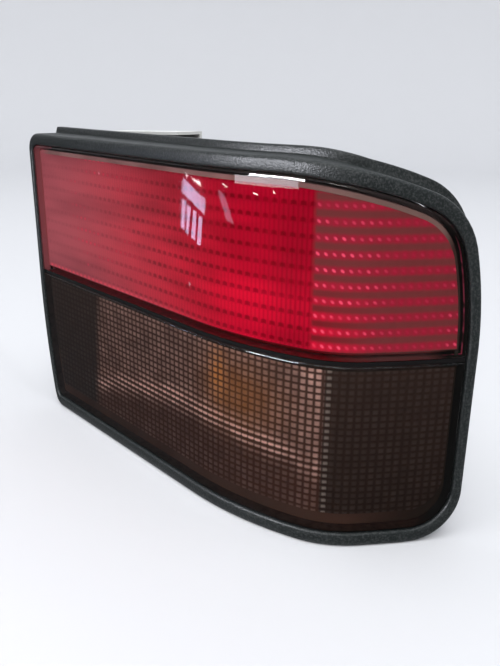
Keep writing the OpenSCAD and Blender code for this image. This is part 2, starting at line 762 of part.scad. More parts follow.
// Bulb holder: a tube with two slots for the pins, a foot on the carrier and a floor
holder_bore = cap_d / 2 + fit_gap;
holder_r = holder_bore + holder_wall;
cap_bare = 6;
holder_front = cap_front + cap_bare;
foot_out = 2;
foot_t = 1.6;
slot_w = 2 * (pin_r + fit_gap);
slot_end = cap_d / 2 + pin_out + fit_gap;
rivet_hole_r = 2.2;
module bulb_holder(p) {
    placed() difference() {
        union() {
            bar([p.x, holder_front, p.y], holder_r, carrier_front - seat - holder_front);
            bar([p.x, carrier_front - seat - foot_t, p.y], holder_r + foot_out, foot_t);
        }
        bar([p.x, holder_front - over, p.y], holder_bore, holder_floor - holder_front + over);
        block([p.x - slot_end, holder_front - over, p.y - slot_w / 2],
            [p.x + slot_end, pin_y + pin_r + fit_gap, p.y + slot_w / 2]);
        bar([p.x, holder_floor - over, p.y], rivet_hole_r, carrier_front - holder_floor + 2 * over);
    }
}
module stop_bulb_glass() {
    color("#e8e8e8") bulb_glass(bulbs[0]);
}
module tail_bulb_glass() {
    color("#e8e8e8") bulb_glass(bulbs[1]);
}
module indicator_bulb_glass() {
    color("orange") bulb_glass(bulbs[2]);
}
module stop_bulb_cap() {
    color("silver") bulb_cap(bulbs[0]);
}
module tail_bulb_cap() {
    color("silver") bulb_cap(bulbs[1]);
}
module indicator_bulb_cap() {
    color("silver") bulb_cap(bulbs[2]);
}
module stop_holder() {
    color("#d8d4c8") bulb_holder(bulbs[0]);
}
module tail_holder() {
    color("#d8d4c8") bulb_holder(bulbs[1]);
}
module indicator_holder() {
    color("#d8d4c8") bulb_holder(bulbs[2]);
}

// Centre contacts: a rivet through each holder and the carrier
contact_head_t = 1;
contact_head_out = 1.2;
contact_clear = 0.2;
module bulb_contacts() {
    front = holder_floor - contact_head_t;
    color("goldenrod") placed() for (p = bulbs) {
        bar([p.x, front, p.y], rivet_hole_r + contact_head_out, contact_head_t - seat);
        bar([p.x, front, p.y], rivet_hole_r - contact_clear, carrier_back + seat / 2 - front);
    }
}

// Carrier plate, with a rim on its back that stiffens it
carrier_round = 10;
rim_in = 5;
rim_t = 1.6;
rim_h = 2.4;
module carrier_ring(from_edge, y1, y2) {
    rounded_window(carrier_mid, carrier_w - 2 * from_edge, carrier_h - 2 * from_edge,
        max(carrier_round - from_edge, least), y1, y2);
}
module bulb_carrier() {
    color("#d8d4c8") placed() difference() {
        union() {
            carrier_ring(0, carrier_front, carrier_back);
            difference() {
                carrier_ring(rim_in, carrier_back - over, carrier_back + rim_h);
                carrier_ring(rim_in + rim_t, carrier_back - 2 * over, carrier_back + rim_h + over);
            }
        }
        for (p = bulbs) bar([p.x, carrier_front - over, p.y], rivet_hole_r, carrier_t + 2 * over);
    }
}
module carrier_seal() {
    color("#2b2b2b") placed() difference() {
        carrier_ring(over, tub_back + seat, carrier_front - seat);
        rounded_window(carrier_mid, window_w - over, window_h - over, window_round,
            tub_back - over, carrier_front + over);
    }
}

// Contact strips on the back of the carrier, drawn as runs between corner points
strip_y = carrier_back + seat;
pad_r = 4;
module run(points) {
    for (i = [0:len(points) - 2]) {
        a = points[i];
        b = points[i + 1];
        block([min(a.x, b.x) - strip_w / 2, strip_y, min(a.y, b.y) - strip_w / 2],
            [max(a.x, b.x) + strip_w / 2, strip_y + strip_t, max(a.y, b.y) + strip_w / 2]);
    }
}
socket_shift = [-22, -1];
socket_mid = [carrier_mid.x, lower_z] + socket_shift;
function terminal(i) = [socket_mid.x + (i - (terminals_n - 1) / 2) * terminal_pitch, socket_mid.y];
meet_z = carrier_mid.y + 11;
module feed_strips() {
    color("goldenrod") placed() {
        for (p = bulbs) bar([p.x, strip_y, p.y], pad_r, strip_t);
        run([bulbs[1], [tail_x, meet_z], [terminal(1).x, meet_z], terminal(1)]);
        run([bulbs[0], [stop_x, meet_z], [terminal(2).x, meet_z], terminal(2)]);
        run([bulbs[2], [terminal(3).x, lower_z], terminal(3)]);
    }
}
strip_space = 4;
earth_top = upper_z + pad_r + strip_space;
earth_left = tail_x - 2 * pad_r - strip_space;
earth_low = lower_z + 17;
module earth_strip() {
    color("goldenrod") placed() run([terminal(0), [terminal(0).x, earth_low], [earth_left, earth_low],
        [earth_left, earth_top], [turn_x, earth_top], [turn_x, lower_z + holder_r]]);
}

// Connector socket: an open box with a key along one side, a rib that it stands on, and its blades
socket_wall = 1.8;
socket_len = 16;
socket_side = 1.5;
socket_w = terminals_n * terminal_pitch + 2 * (socket_wall + socket_side);
socket_h = 14;
socket_floor = 2;
socket_front = strip_y + strip_t + seat;
socket_back = socket_front + socket_len;
socket_low = socket_mid.y - socket_h / 2;
socket_high = socket_mid.y + socket_h / 2;
socket_left = socket_mid.x - socket_w / 2;
socket_right = socket_mid.x + socket_w / 2;
key_w = 6;
key_rise = 2;
key_front = 3;
key_len = 6;
rib_foot = 3;
blade = [0.8, 2.4];
blade_len = 9;
blade_clear = 0.1;
module connector_socket() {
    color("#3a3a3c") placed() difference() {
        union() {
            block([socket_left, socket_front, socket_low], [socket_right, socket_back, socket_high]);
            block([socket_left, strip_y, socket_low],
                [socket_right, socket_front + over, socket_low + rib_foot]);
            block([socket_mid.x - key_w / 2, socket_front + key_front, socket_high - over],
                [socket_mid.x + key_w / 2, socket_front + key_front + key_len, socket_high + key_rise]);
        }
        block([socket_left + socket_wall, socket_front + socket_floor, socket_low + socket_wall],
            [socket_right - socket_wall, socket_back + over, socket_high - socket_wall]);
        for (i = [0:terminals_n - 1]) let (t = terminal(i))
            block([t.x - blade.x / 2 - blade_clear, socket_front - over, t.y - blade.y / 2 - blade_clear],
                [t.x + blade.x / 2 + blade_clear, socket_front + socket_floor + over,
                    t.y + blade.y / 2 + blade_clear]);
    }
}
module connector_terminals() {
    color("goldenrod") placed() for (i = [0:terminals_n - 1]) let (t = terminal(i))
        block([t.x - blade.x / 2, socket_front - seat / 2, t.y - blade.y / 2],
            [t.x + blade.x / 2, socket_front + socket_floor + blade_len, t.y + blade.y / 2]);
}

// Stepped studs: a head inside the housing, a base that its own washer and nut hold, and a free end
head_r = stud_base_d / 2 + 1.5;
head_t = 2;
chamfer = 0.6;
nut_front = tub_back + washer_t + 2 * seat;
stud_step = nut_front + nut_h + over;
module mounting_studs() {
    base_r = stud_base_d / 2;
    free_r = stud_d / 2;
    head_back = tub_floor - seat;
    color("silver") placed() for (p = stud_spots)
        turned(p.x, p.y, [
            [0, head_back - head_t], [head_r, head_back - head_t], [head_r, head_back],
            [base_r, head_back], [base_r, stud_step], [free_r, stud_step],
            [free_r, rearmost - chamfer], [free_r - chamfer, rearmost], [0, rearmost]
        ]);
}
module stud_washers() {
    front = tub_back + seat;
    color("silver") placed() for (p = stud_spots)
        turned(p.x, p.y, [
            [stud_hole_r, front], [washer_d / 2, front],
            [washer_d / 2, front + washer_t], [stud_hole_r, front + washer_t]
        ]);
}
module stud_nuts() {
    color("silver") placed() for (p = stud_spots) difference() {
        translate([p.x, nut_front, p.y]) rotate([-90, 0, 0]) cylinder(d = nut_af / cos(30), h = nut_h, $fn = 6);
        bar([p.x, nut_front - over, p.y], stud_base_d / 2 + seat, nut_h + 2 * over);
    }
}

// Cap pushed over the breather tube
cap_wall = 1.6;
cap_stand = 2.5;
cap_room = 2;
module breather_cap() {
    front = tub_back + cap_stand;
    back = tub_back + breather_len + cap_room;
    inside = breather_d / 2 + seat;
    outside = inside + cap_wall;
    color("#2b2b2b") placed() turned(breather_spot.x, breather_spot.y, [
        [inside, front], [outside, front], [outside, back - cap_round], [outside - cap_round, back], [0, back],
        [0, back - cap_wall], [inside, back - cap_wall]
    ]);
}

// Steel bracket bent like a step: foot on the housing, upright, and a leaf that slopes towards the outer end
module bracket_panel(y1, y2, low_in, low_out) {
    translate([bracket_x, y2, 0]) rotate([90, 0, 0]) linear_extrude(y2 - y1) polygon([
        [0, low_in], [bracket_len, low_out], [bracket_len, bracket_top + bracket_gain], [0, bracket_top]
    ]);
}
module fixing_bracket() {
    foot = tub_top + seat;
    leaf_in = bracket_top - bracket_t;
    color("#c4c4c0") placed() difference() {
        union() {
            block([bracket_x, bracket_y, foot], [bracket_end, bracket_y + bracket_foot, foot + bracket_t]);
            bracket_panel(bracket_y, bracket_y + bracket_t, foot, foot);
            bracket_panel(bracket_y - bracket_leaf, bracket_y + bracket_t, leaf_in, leaf_in + bracket_gain);
        }
        for (p = rivet_spots) translate([p.x, p.y, foot - over])
            cylinder(r = rivet_r + rivet_clear, h = bracket_t + 2 * over);
        translate([bracket_x + bracket_len / 2, bracket_y - bracket_leaf / 2, leaf_in - over])
            cylinder(r = bracket_hole_r, h = bracket_t + bracket_gain + 2 * over);
    }
}
module bracket_rivets() {
    inside = tub_top - housing_wall;
    outside = tub_top + bracket_t + 2 * seat;
    head = 1.2;
    color("silver") placed() for (p = rivet_spots) translate([p.x, p.y, 0]) rotate_extrude() polygon([
        [0, inside - head], [rivet_r + head, inside - head],
        [rivet_r + head, inside - seat], [rivet_r, inside - seat],
        [rivet_r, outside], [rivet_r + head, outside],
        [rivet_r + head / 2, outside + head], [0, outside + head]
    ]);
}

housing();
bezel();
red_lens();
smoked_lens();
joint_strip();
lens_seal();
body_gasket();
upper_reflector();
lower_reflector();
stop_bulb_glass();
stop_bulb_cap();
tail_bulb_glass();
tail_bulb_cap();
indicator_bulb_glass();
indicator_bulb_cap();
stop_holder();
tail_holder();
indicator_holder();
bulb_contacts();
bulb_carrier();
carrier_seal();
feed_strips();
earth_strip();
connector_socket();
connector_terminals();
mounting_studs();
stud_washers();
stud_nuts();
breather_cap();
fixing_bracket();
bracket_rivets();
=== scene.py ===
"""Looks of a right-hand wrap-round rear lamp: moulded lenses, grained bezel, worn plastics and metals."""

import math

import bmesh
import bpy
import numpy as np
from mathutils import Matrix, Vector


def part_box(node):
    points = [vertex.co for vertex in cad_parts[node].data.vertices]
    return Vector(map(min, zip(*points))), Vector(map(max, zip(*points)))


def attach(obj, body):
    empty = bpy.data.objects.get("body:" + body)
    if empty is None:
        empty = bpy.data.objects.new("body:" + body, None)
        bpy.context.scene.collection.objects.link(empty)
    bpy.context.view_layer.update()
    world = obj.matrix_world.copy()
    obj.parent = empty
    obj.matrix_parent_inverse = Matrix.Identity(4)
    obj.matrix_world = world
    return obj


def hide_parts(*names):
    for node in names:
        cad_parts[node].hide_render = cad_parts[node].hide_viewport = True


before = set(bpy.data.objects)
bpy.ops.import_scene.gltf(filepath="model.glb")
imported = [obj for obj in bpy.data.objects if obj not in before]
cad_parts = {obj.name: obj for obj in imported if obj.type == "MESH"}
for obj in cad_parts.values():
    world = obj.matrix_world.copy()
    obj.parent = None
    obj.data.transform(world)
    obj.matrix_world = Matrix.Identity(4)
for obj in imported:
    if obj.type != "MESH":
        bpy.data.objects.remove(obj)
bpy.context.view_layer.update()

MM = 0.001
# Points closer than this are one, and a part of a mesh is never thinner than LEAST
WELD, SLIVER, LEAST = 0.002, 0.001, 0.05
# Attribute with s, z and d of each point, which the finishes read
FACE_PLACE = "face_place"

# Plan of the lens face, in millimetres and degrees: flat, bend, tight corner, side
FLAT = 160.0
BEND_R, BEND_TURN = 188.0, 20.0
CORNER_R, CORNER_TURN = 51.0, 34.0
SIDE_R = 380.0
BEND_END = FLAT + BEND_R * math.radians(BEND_TURN)
CORNER_END = BEND_END + CORNER_R * math.radians(CORNER_TURN)

# Outline of the lens pair on that face
LENS_W, LENS_H = 302.0, 166.0
TOP_FALL = (198.0, 20.5)
TOP_CORNER = 30.0
OUTER_BOW = (190.0, 14.0)
BOTTOM_CORNER = 20.5
INNER_TOP = 5.0
INNER_BOTTOM = 3.0
INNER_BOW = (430.0, 11.0)
JOINT_Z, JOINT_GAP = 84.4, 2.4
RED_BOTTOM = JOINT_Z + JOINT_GAP

# Bezel widths round the lens, its depth and its set-back flange
RIM_TOP, RIM_BOTTOM, RIM_OUTER, RIM_INNER = 7.2, 7.3, 5.3, 3.2
RIM_WALL, RIM_PROUD, RIM_GAP = 2.2, 1.2, 0.5
RIM_WIDTH = 7.5
LIP_DEPTH, LIP_FRONT = 3.2, 0.3
RETURN_GAP = 0.7
FLANGE_DEPTH, FLANGE_T, FLANGE_RISE, FLANGE_SIDE = 14.0, 3.6, 3.6, 4.1
FLANGE_START, FLANGE_FADE = 6.0, 40.0

# The frame says where the lens's inner end and the flat of its face lie
bezel_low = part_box("bezel")[0]
START_X = bezel_low.x / MM + RIM_INNER
FACE_Y = bezel_low.y / MM + RIM_PROUD
BASE_Z = RIM_BOTTOM


def plan(s):
    """Heading and place of the plan curve at the lengths s."""
    s = np.asarray(s, float)
    turn = np.radians([0.0, BEND_TURN, BEND_TURN + CORNER_TURN])
    heading = np.select(
        [s < FLAT, s < BEND_END, s < CORNER_END],
        [0.0 * s, (s - FLAT) / BEND_R, turn[1] + (s - BEND_END) / CORNER_R],
        turn[2] + (s - CORNER_END) / SIDE_R,
    )
    place = np.zeros(s.shape + (2,))
    here = np.array([FLAT, 0.0])
    place[s < FLAT, 0] = s[s < FLAT]
    for start, stop, radius, first in (
        (FLAT, BEND_END, BEND_R, turn[0]),
        (BEND_END, CORNER_END, CORNER_R, turn[1]),
        (CORNER_END, np.inf, SIDE_R, turn[2]),
    ):
        on = (s >= start) & (s < stop)
        place[on] = here + radius * np.stack(
            [np.sin(heading[on]) - math.sin(first), math.cos(first) - np.cos(heading[on])], -1
        )
        if stop < np.inf:
            last = first + (stop - start) / radius
            here = here + radius * np.array(
                [math.sin(last) - math.sin(first), math.cos(first) - math.cos(last)]
            )
    return heading, place


def on_face(s, z, d):
    """Points, in metres, at s along the face, z above the lens bottom and d behind the face."""
    s, z, d = np.broadcast_arrays(np.asarray(s, float), z, d)
    heading, place = plan(s)
    x = place[..., 0] - np.sin(heading) * d + START_X
    y = place[..., 1] + np.cos(heading) * d + FACE_Y
    return np.stack([x, y, z + BASE_Z], -1) * MM


def arc(centre, radius, first, last, steps):
    angle = np.radians(np.linspace(first, last, steps + 1))
    return np.array(centre) + radius * np.stack([np.cos(angle), np.sin(angle)], -1)


class Outline:
    """A rounded outline on the face; every radius grows with the distance from the lens edge."""

    def __init__(self, left, right, bottom, top, grow):
        def grown(radius):
            return max(radius + grow, 0.4)

        fall, a_fall = TOP_FALL[0] + grow, 90 - TOP_FALL[1]
        corner = grown(TOP_CORNER)
        bow, a_bow = OUTER_BOW[0] + grow, OUTER_BOW[1]
        inner, a_inner = INNER_BOW[0] + grow, 180 + INNER_BOW[1]
        tight_top, tight_bottom = grown(INNER_TOP), grown(INNER_BOTTOM)
        wide_bottom = grown(BOTTOM_CORNER)
        unit = lambda a: np.array([math.cos(math.radians(a)), math.sin(math.radians(a))])
        start = right - bow + (bow - corner) * unit(a_bow)[0] - (fall - corner) * unit(a_fall)[0]
        c_fall = np.array([start, top - fall])
        c_corner = c_fall + (fall - corner) * unit(a_fall)
        c_bow = c_corner - (bow - corner) * unit(a_bow)
        c_inner = np.array([left + inner, bottom + tight_bottom - (inner - tight_bottom) * unit(a_inner)[1]])
        c_tight = c_inner + (inner - tight_bottom) * unit(a_inner)
        self.left, self.right = left, right
        self.upper = np.concatenate([
            arc((left + tight_top, top - tight_top), tight_top, 180, 90, 10),
            arc(c_fall, fall, 90, a_fall, 24),
            arc(c_corner, corner, a_fall, a_bow, 20),
            arc(c_bow, bow, a_bow, 0, 14),
        ])
        self.lower = np.concatenate([
            arc(c_inner, inner, 180, a_inner, 16),
            arc(c_tight, tight_bottom, a_inner, 270, 8),
            arc((right - wide_bottom, bottom + wide_bottom), wide_bottom, 270, 360, 20),
        ])

    def high(self, s):
        return np.interp(s, self.upper[:, 0], self.upper[:, 1])

    def low(self, s):
        return np.interp(s, self.lower[:, 0], self.lower[:, 1])


def lens_outline(u):
    """The outline at the distance u outside the lens edge."""
    return Outline(-u, LENS_W + u, -u, LENS_H + u, u)


def crowded(left, right, count, crowd=14.0):
    """Stations from left to right: even in the middle, ever closer towards both ends."""
    steps = [0.0, 0.02, 0.08, 0.2, 0.4, 0.7, 1.1, 1.6, 2.2, 3.0, 4.0, 5.2, 6.6, 8.2, 10.0, 12.0]
    ends = np.array(steps) / steps[-1] * crowd
    middle = left + crowd + (right - left - 2 * crowd) * np.linspace(0, 1, count)[1:-1]
    return np.concatenate([left + ends, middle, (right - ends)[::-1]])


def part_lines(part, outline, s, from_joint):
    """Lower and upper line of one lens inside an outline, at a distance from the joint between the lenses."""
    low = outline.low(s) if part == "smoked" else np.full_like(s, RED_BOTTOM + from_joint)
    high = outline.high(s) if part == "red" else np.full_like(s, JOINT_Z - from_joint)
    return low, high


def round_loop(s, low, high, depth=0.0):
    """One loop of (s, z, d): along the lower line and back along the upper one."""
    return np.stack([np.concatenate([s, s[::-1]]), np.concatenate([low, high[::-1]]), np.full(2 * len(s), depth)], -1)


def mesh_piece(name, points, faces, materials, slots=None, face_data=None, smooth=40.0):
    """A piece from points in metres; face_data holds (s, z, d) of each point for the finishes."""
    mesh = bpy.data.meshes.new(name)
    mesh.from_pydata([tuple(p) for p in points], [], [tuple(int(i) for i in f) for f in faces])
    for material in materials:
        mesh.materials.append(material)
    if slots is not None:
        mesh.polygons.foreach_set("material_index", np.asarray(slots, np.int32))
    if face_data is not None:
        layer = mesh.attributes.new(FACE_PLACE, "FLOAT_VECTOR", "POINT")
        layer.data.foreach_set("vector", (np.asarray(face_data, float) * MM).astype(np.float32).ravel())
    tidy = bmesh.new()
    tidy.from_mesh(mesh)
    bmesh.ops.remove_doubles(tidy, verts=tidy.verts, dist=WELD * MM)
    bmesh.ops.dissolve_degenerate(tidy, edges=tidy.edges, dist=SLIVER * MM)
    bmesh.ops.recalc_face_normals(tidy, faces=tidy.faces)
    tidy.to_mesh(mesh)
    tidy.free()
    piece = bpy.data.objects.new(name, mesh)
    bpy.context.scene.collection.objects.link(piece)
    mesh.shade_smooth()
    mesh.set_sharp_from_angle(angle=math.radians(smooth))
    return piece


def strips(loops, closed=True):
    """Quads between loops of equal length that follow one another."""
    n = len(loops[0])
    faces = []
    pairs = len(loops) if closed else len(loops) - 1
    for i in range(pairs):
        a, b = i * n, ((i + 1) % len(loops)) * n
        faces += [(a + j, a + (j + 1) % n, b + (j + 1) % n, b + j) for j in range(n)]
    return faces


class Finish:
    """A finish: one Principled shader whose inputs come from small procedural networks."""

    def __init__(self, name, colour, **settings):
        self.material = bpy.data.materials.new(name)
        self.material.use_nodes = True
        self.tree = self.material.node_tree
        self.shader = self.tree.nodes["Principled BSDF"]
        self.shader.inputs["Base Color"].default_value = (*colour, 1.0)
        for socket, value in settings.items():
            self.shader.inputs[socket.replace("_", " ")].default_value = value
        self._places = {}

    def add(self, kind, inputs=(), **settings):
        node = self.tree.nodes.new(kind)
        for key, value in settings.items():
            setattr(node, key, value)
        for socket, value in dict(inputs).items():
            self.feed(node.inputs[socket], value)
        return node

    def feed(self, socket, value):
        if isinstance(value, bpy.types.NodeSocket):
            self.tree.links.new(value, socket)
        else:
            socket.default_value = value

    def math(self, operation, *values):
        node = self.add("ShaderNodeMath", operation=operation)
        for socket, value in zip(node.inputs, values):
            self.feed(socket, value)
        return node.outputs[0]

    def times(self, product, *factors):
        for factor in factors:
            product = self.math("MULTIPLY", product, factor)
        return product

    def plus(self, first, second):
        return self.math("ADD", first, second)

    def minus(self, first, second):
        return self.math("SUBTRACT", first, second)

    def unsigned(self, value):
        return self.math("ABSOLUTE", value)

    def most(self, first, second):
        return self.math("MAXIMUM", first, second)

    def capped(self, value):
        return self.math("MINIMUM", value, 1.0)

    def place(self):
        """Place on the object, in metres."""
        if "object" not in self._places:
            self._places["object"] = self.add("ShaderNodeTexCoord").outputs["Object"]
        return self._places["object"]

    def face_place(self):
        """s, z and d on the lens face, in millimetres."""
        if "face" not in self._places:
            read = self.add("ShaderNodeAttribute", attribute_name=FACE_PLACE)
            split = self.add("ShaderNodeSeparateXYZ", {"Vector": read.outputs["Vector"]})
            self._places["face"] = tuple(self.times(split.outputs[i], 1 / MM) for i in range(3))
        return self._places["face"]

    def noise(self, per_mm, detail=2.0, roughness=0.5, stretch=None):
        where = self.place()
        if stretch:
            where = self.add("ShaderNodeMapping", {"Vector": where, "Scale": stretch}).outputs[0]
        node = self.add("ShaderNodeTexNoise", {
            "Vector": where, "Scale": per_mm / MM, "Detail": detail, "Roughness": roughness})
        return node.outputs["Fac"]

    def ramp(self, value, low, high, to_low=0.0, to_high=1.0, kind="LINEAR"):
        """A straight change from to_low at low to to_high at high, level outside."""
        node = self.add("ShaderNodeMapRange", {
            "Value": value, "From Min": low, "From Max": high, "To Min": to_low, "To Max": to_high})
        node.interpolation_type = kind
        return node.outputs[0]

    def ease(self, *limits):
        """A ramp with soft ends."""
        return self.ramp(*limits, kind="SMOOTHSTEP")

    def blend(self, share, first, second):
        node = self.add("ShaderNodeMix", data_type="RGBA")
        for socket, value in ((node.inputs["Factor"], share), (node.inputs[6], first), (node.inputs[7], second)):
            if isinstance(value, tuple):
                value = (*value, 1.0)
            self.feed(socket, value)
        return node.outputs[2]

    def wave(self, value, pitch, start=0.0):
        """Distance from the middle of its tile, from -1 to 1, along rows of the given pitch."""
        share = self.math("FRACT", self.math("DIVIDE", self.minus(value, start), pitch))
        return self.minus(self.times(share, 2.0), 1.0)

    def between(self, value, edge0, edge1, soft):
        """1 between the two edges, falling softly to 0 outside."""
        return self.times(self.ease(value, edge0 - soft, edge0 + soft),
                          self.ease(value, edge1 - soft, edge1 + soft, 1.0, 0.0))

    def bell(self, value, middle, width):
        """1 at the middle, falling like a bell to both sides."""
        off = self.math("DIVIDE", self.minus(value, middle), width)
        return self.math("POWER", 2.718, self.times(off, off, -1.0))

    def reach(self, across, up):
        """Distance from the point where both are 0."""
        return self.math("SQRT", self.plus(self.times(across, across), self.times(up, up)))

    def colour(self, value):
        self.feed(self.shader.inputs["Base Color"], value)

    def roughness(self, value):
        self.feed(self.shader.inputs["Roughness"], value)

    def relief(self, height_mm):
        """Bumps from a height in millimetres."""
        bump = self.add("ShaderNodeBump", {"Strength": 1.0, "Distance": MM, "Height": height_mm})
        self.feed(self.shader.inputs["Normal"], bump.outputs[0])


def moulded(name, colour, rough=0.5, grain=0.0, grain_per_mm=1.1, dust=0.0, speck_per_mm=2.75, **settings):
    """Moulded plastic or rubber: fine grain, uneven gloss and a little dust."""
    finish = Finish(name, colour, **settings)
    cloud = finish.noise(0.05, 3.0)
    finish.roughness(finish.ramp(cloud, 0.3, 0.7, rough - 0.06, rough + 0.08))
    dust_grey = 0.35
    light = tuple(c + (dust_grey - c) * dust for c in colour)
    fine = finish.noise(speck_per_mm, 2.0)
    finish.colour(finish.blend(finish.ramp(fine, 0.45, 0.8), colour, light))
    if grain:
        cells = finish.add("ShaderNodeTexVoronoi", {
            "Vector": finish.place(), "Scale": grain_per_mm / MM}, feature="SMOOTH_F1")
        finish.relief(finish.times(cells.outputs["Distance"], grain))
    return finish.material


def metal(name, colour, rough=0.3, streaks=(1.0, 1.0, 1.0)):
    """Plated or bare metal with faint streaks and stains."""
    finish = Finish(name, colour, Metallic=1.0)
    stain = finish.noise(0.12, 4.0, 0.6)
    scratch = finish.noise(1.2, 2.0, stretch=streaks)
    stained = tuple(c * 0.72 for c in colour)
    finish.colour(finish.blend(finish.ramp(stain, 0.35, 0.75), colour, stained))
    finish.roughness(finish.ramp(scratch, 0.3, 0.7, rough - 0.08, rough + 0.12))
    return finish.material


def tinted(finish, tint):
    """Light that goes straight through and takes up a tint."""
    through = finish.add("ShaderNodeBsdfTransparent")
    through.inputs["Color"].default_value = (*tint, 1.0)
    return through.outputs[0]


def clear_face(name, tint, scuffs=()):
    """Polished outer skin of a lens: passes tinted light, mirrors by the angle of view, dull in its scuffs."""
    finish = Finish(name, (1.0, 1.0, 1.0), Metallic=1.0, Roughness=0.03)
    s, z, _ = finish.face_place()
    haze = finish.noise(0.02, 3.0)
    rough = finish.ramp(haze, 0.4, 0.7, 0.015, 0.05)
    gloss = finish.add("ShaderNodeFresnel", {"IOR": SKIN_IOR}).outputs[0]
    ragged = finish.noise(0.9, 2.0)
    for at_s, at_z, wide in scuffs:
        off = finish.reach(finish.minus(s, at_s), finish.minus(z, at_z))
        dull = finish.ramp(finish.plus(off, finish.times(ragged, wide)), wide * 0.7, wide * 1.1, 1.0, 0.0)
        rough = finish.most(rough, finish.times(dull, SCUFF_ROUGH))
        gloss = finish.most(gloss, finish.times(dull, SCUFF_GLOSS))
    finish.roughness(rough)
    mix = finish.add("ShaderNodeMixShader")
    finish.feed(mix.inputs[0], gloss)
    finish.feed(mix.inputs[1], tinted(finish, tint))
    finish.feed(mix.inputs[2], finish.shader.outputs[0])
    finish.feed(finish.tree.nodes["Material Output"].inputs["Surface"], mix.outputs[0])
    return finish.material


def inner_face(name, tint):
    """Inside of a lens skin: only tints what is seen through it."""
    finish = Finish(name, tint)
    finish.feed(finish.tree.nodes["Material Output"].inputs["Surface"], tinted(finish, tint))
    finish.tree.nodes.remove(finish.shader)
    return finish.material


# Optics: pitch across and up of each tiled field, and the lines that bound them
RED_TILE = (2.35, 6.9)
SIDE_TILE = (3.9, 6.9)
SMOKED_TILE = (4.0, 3.3)
RED_ROW = 92.3
SIDE_SPLIT = 228.9
SMOKED_SPLIT = 236.8
OPTIC_DEPTH = 3.1
OPTIC_T = 1.4
BORDER_SIDE, BORDER_TOP, BORDER_JOINT, BORDER_FOOT = 3.6, 4.9, 3.2, 8.2

# Gloss: the lens skin mirrors, the optics behind it are matt inside the lamp
SKIN_IOR = 1.36
SCUFF_ROUGH, SCUFF_GLOSS = 0.6, 0.055
OPTIC_ROUGH, INNER_GLOSS = 0.34, 0.0


def optic_outline(grow=0.0):
    """Outline of both fields of optics, widened by grow."""
    inset = BORDER_SIDE - grow
    return Outline(inset, LENS_W - inset, BORDER_FOOT - grow, LENS_H - BORDER_TOP + grow, -inset)


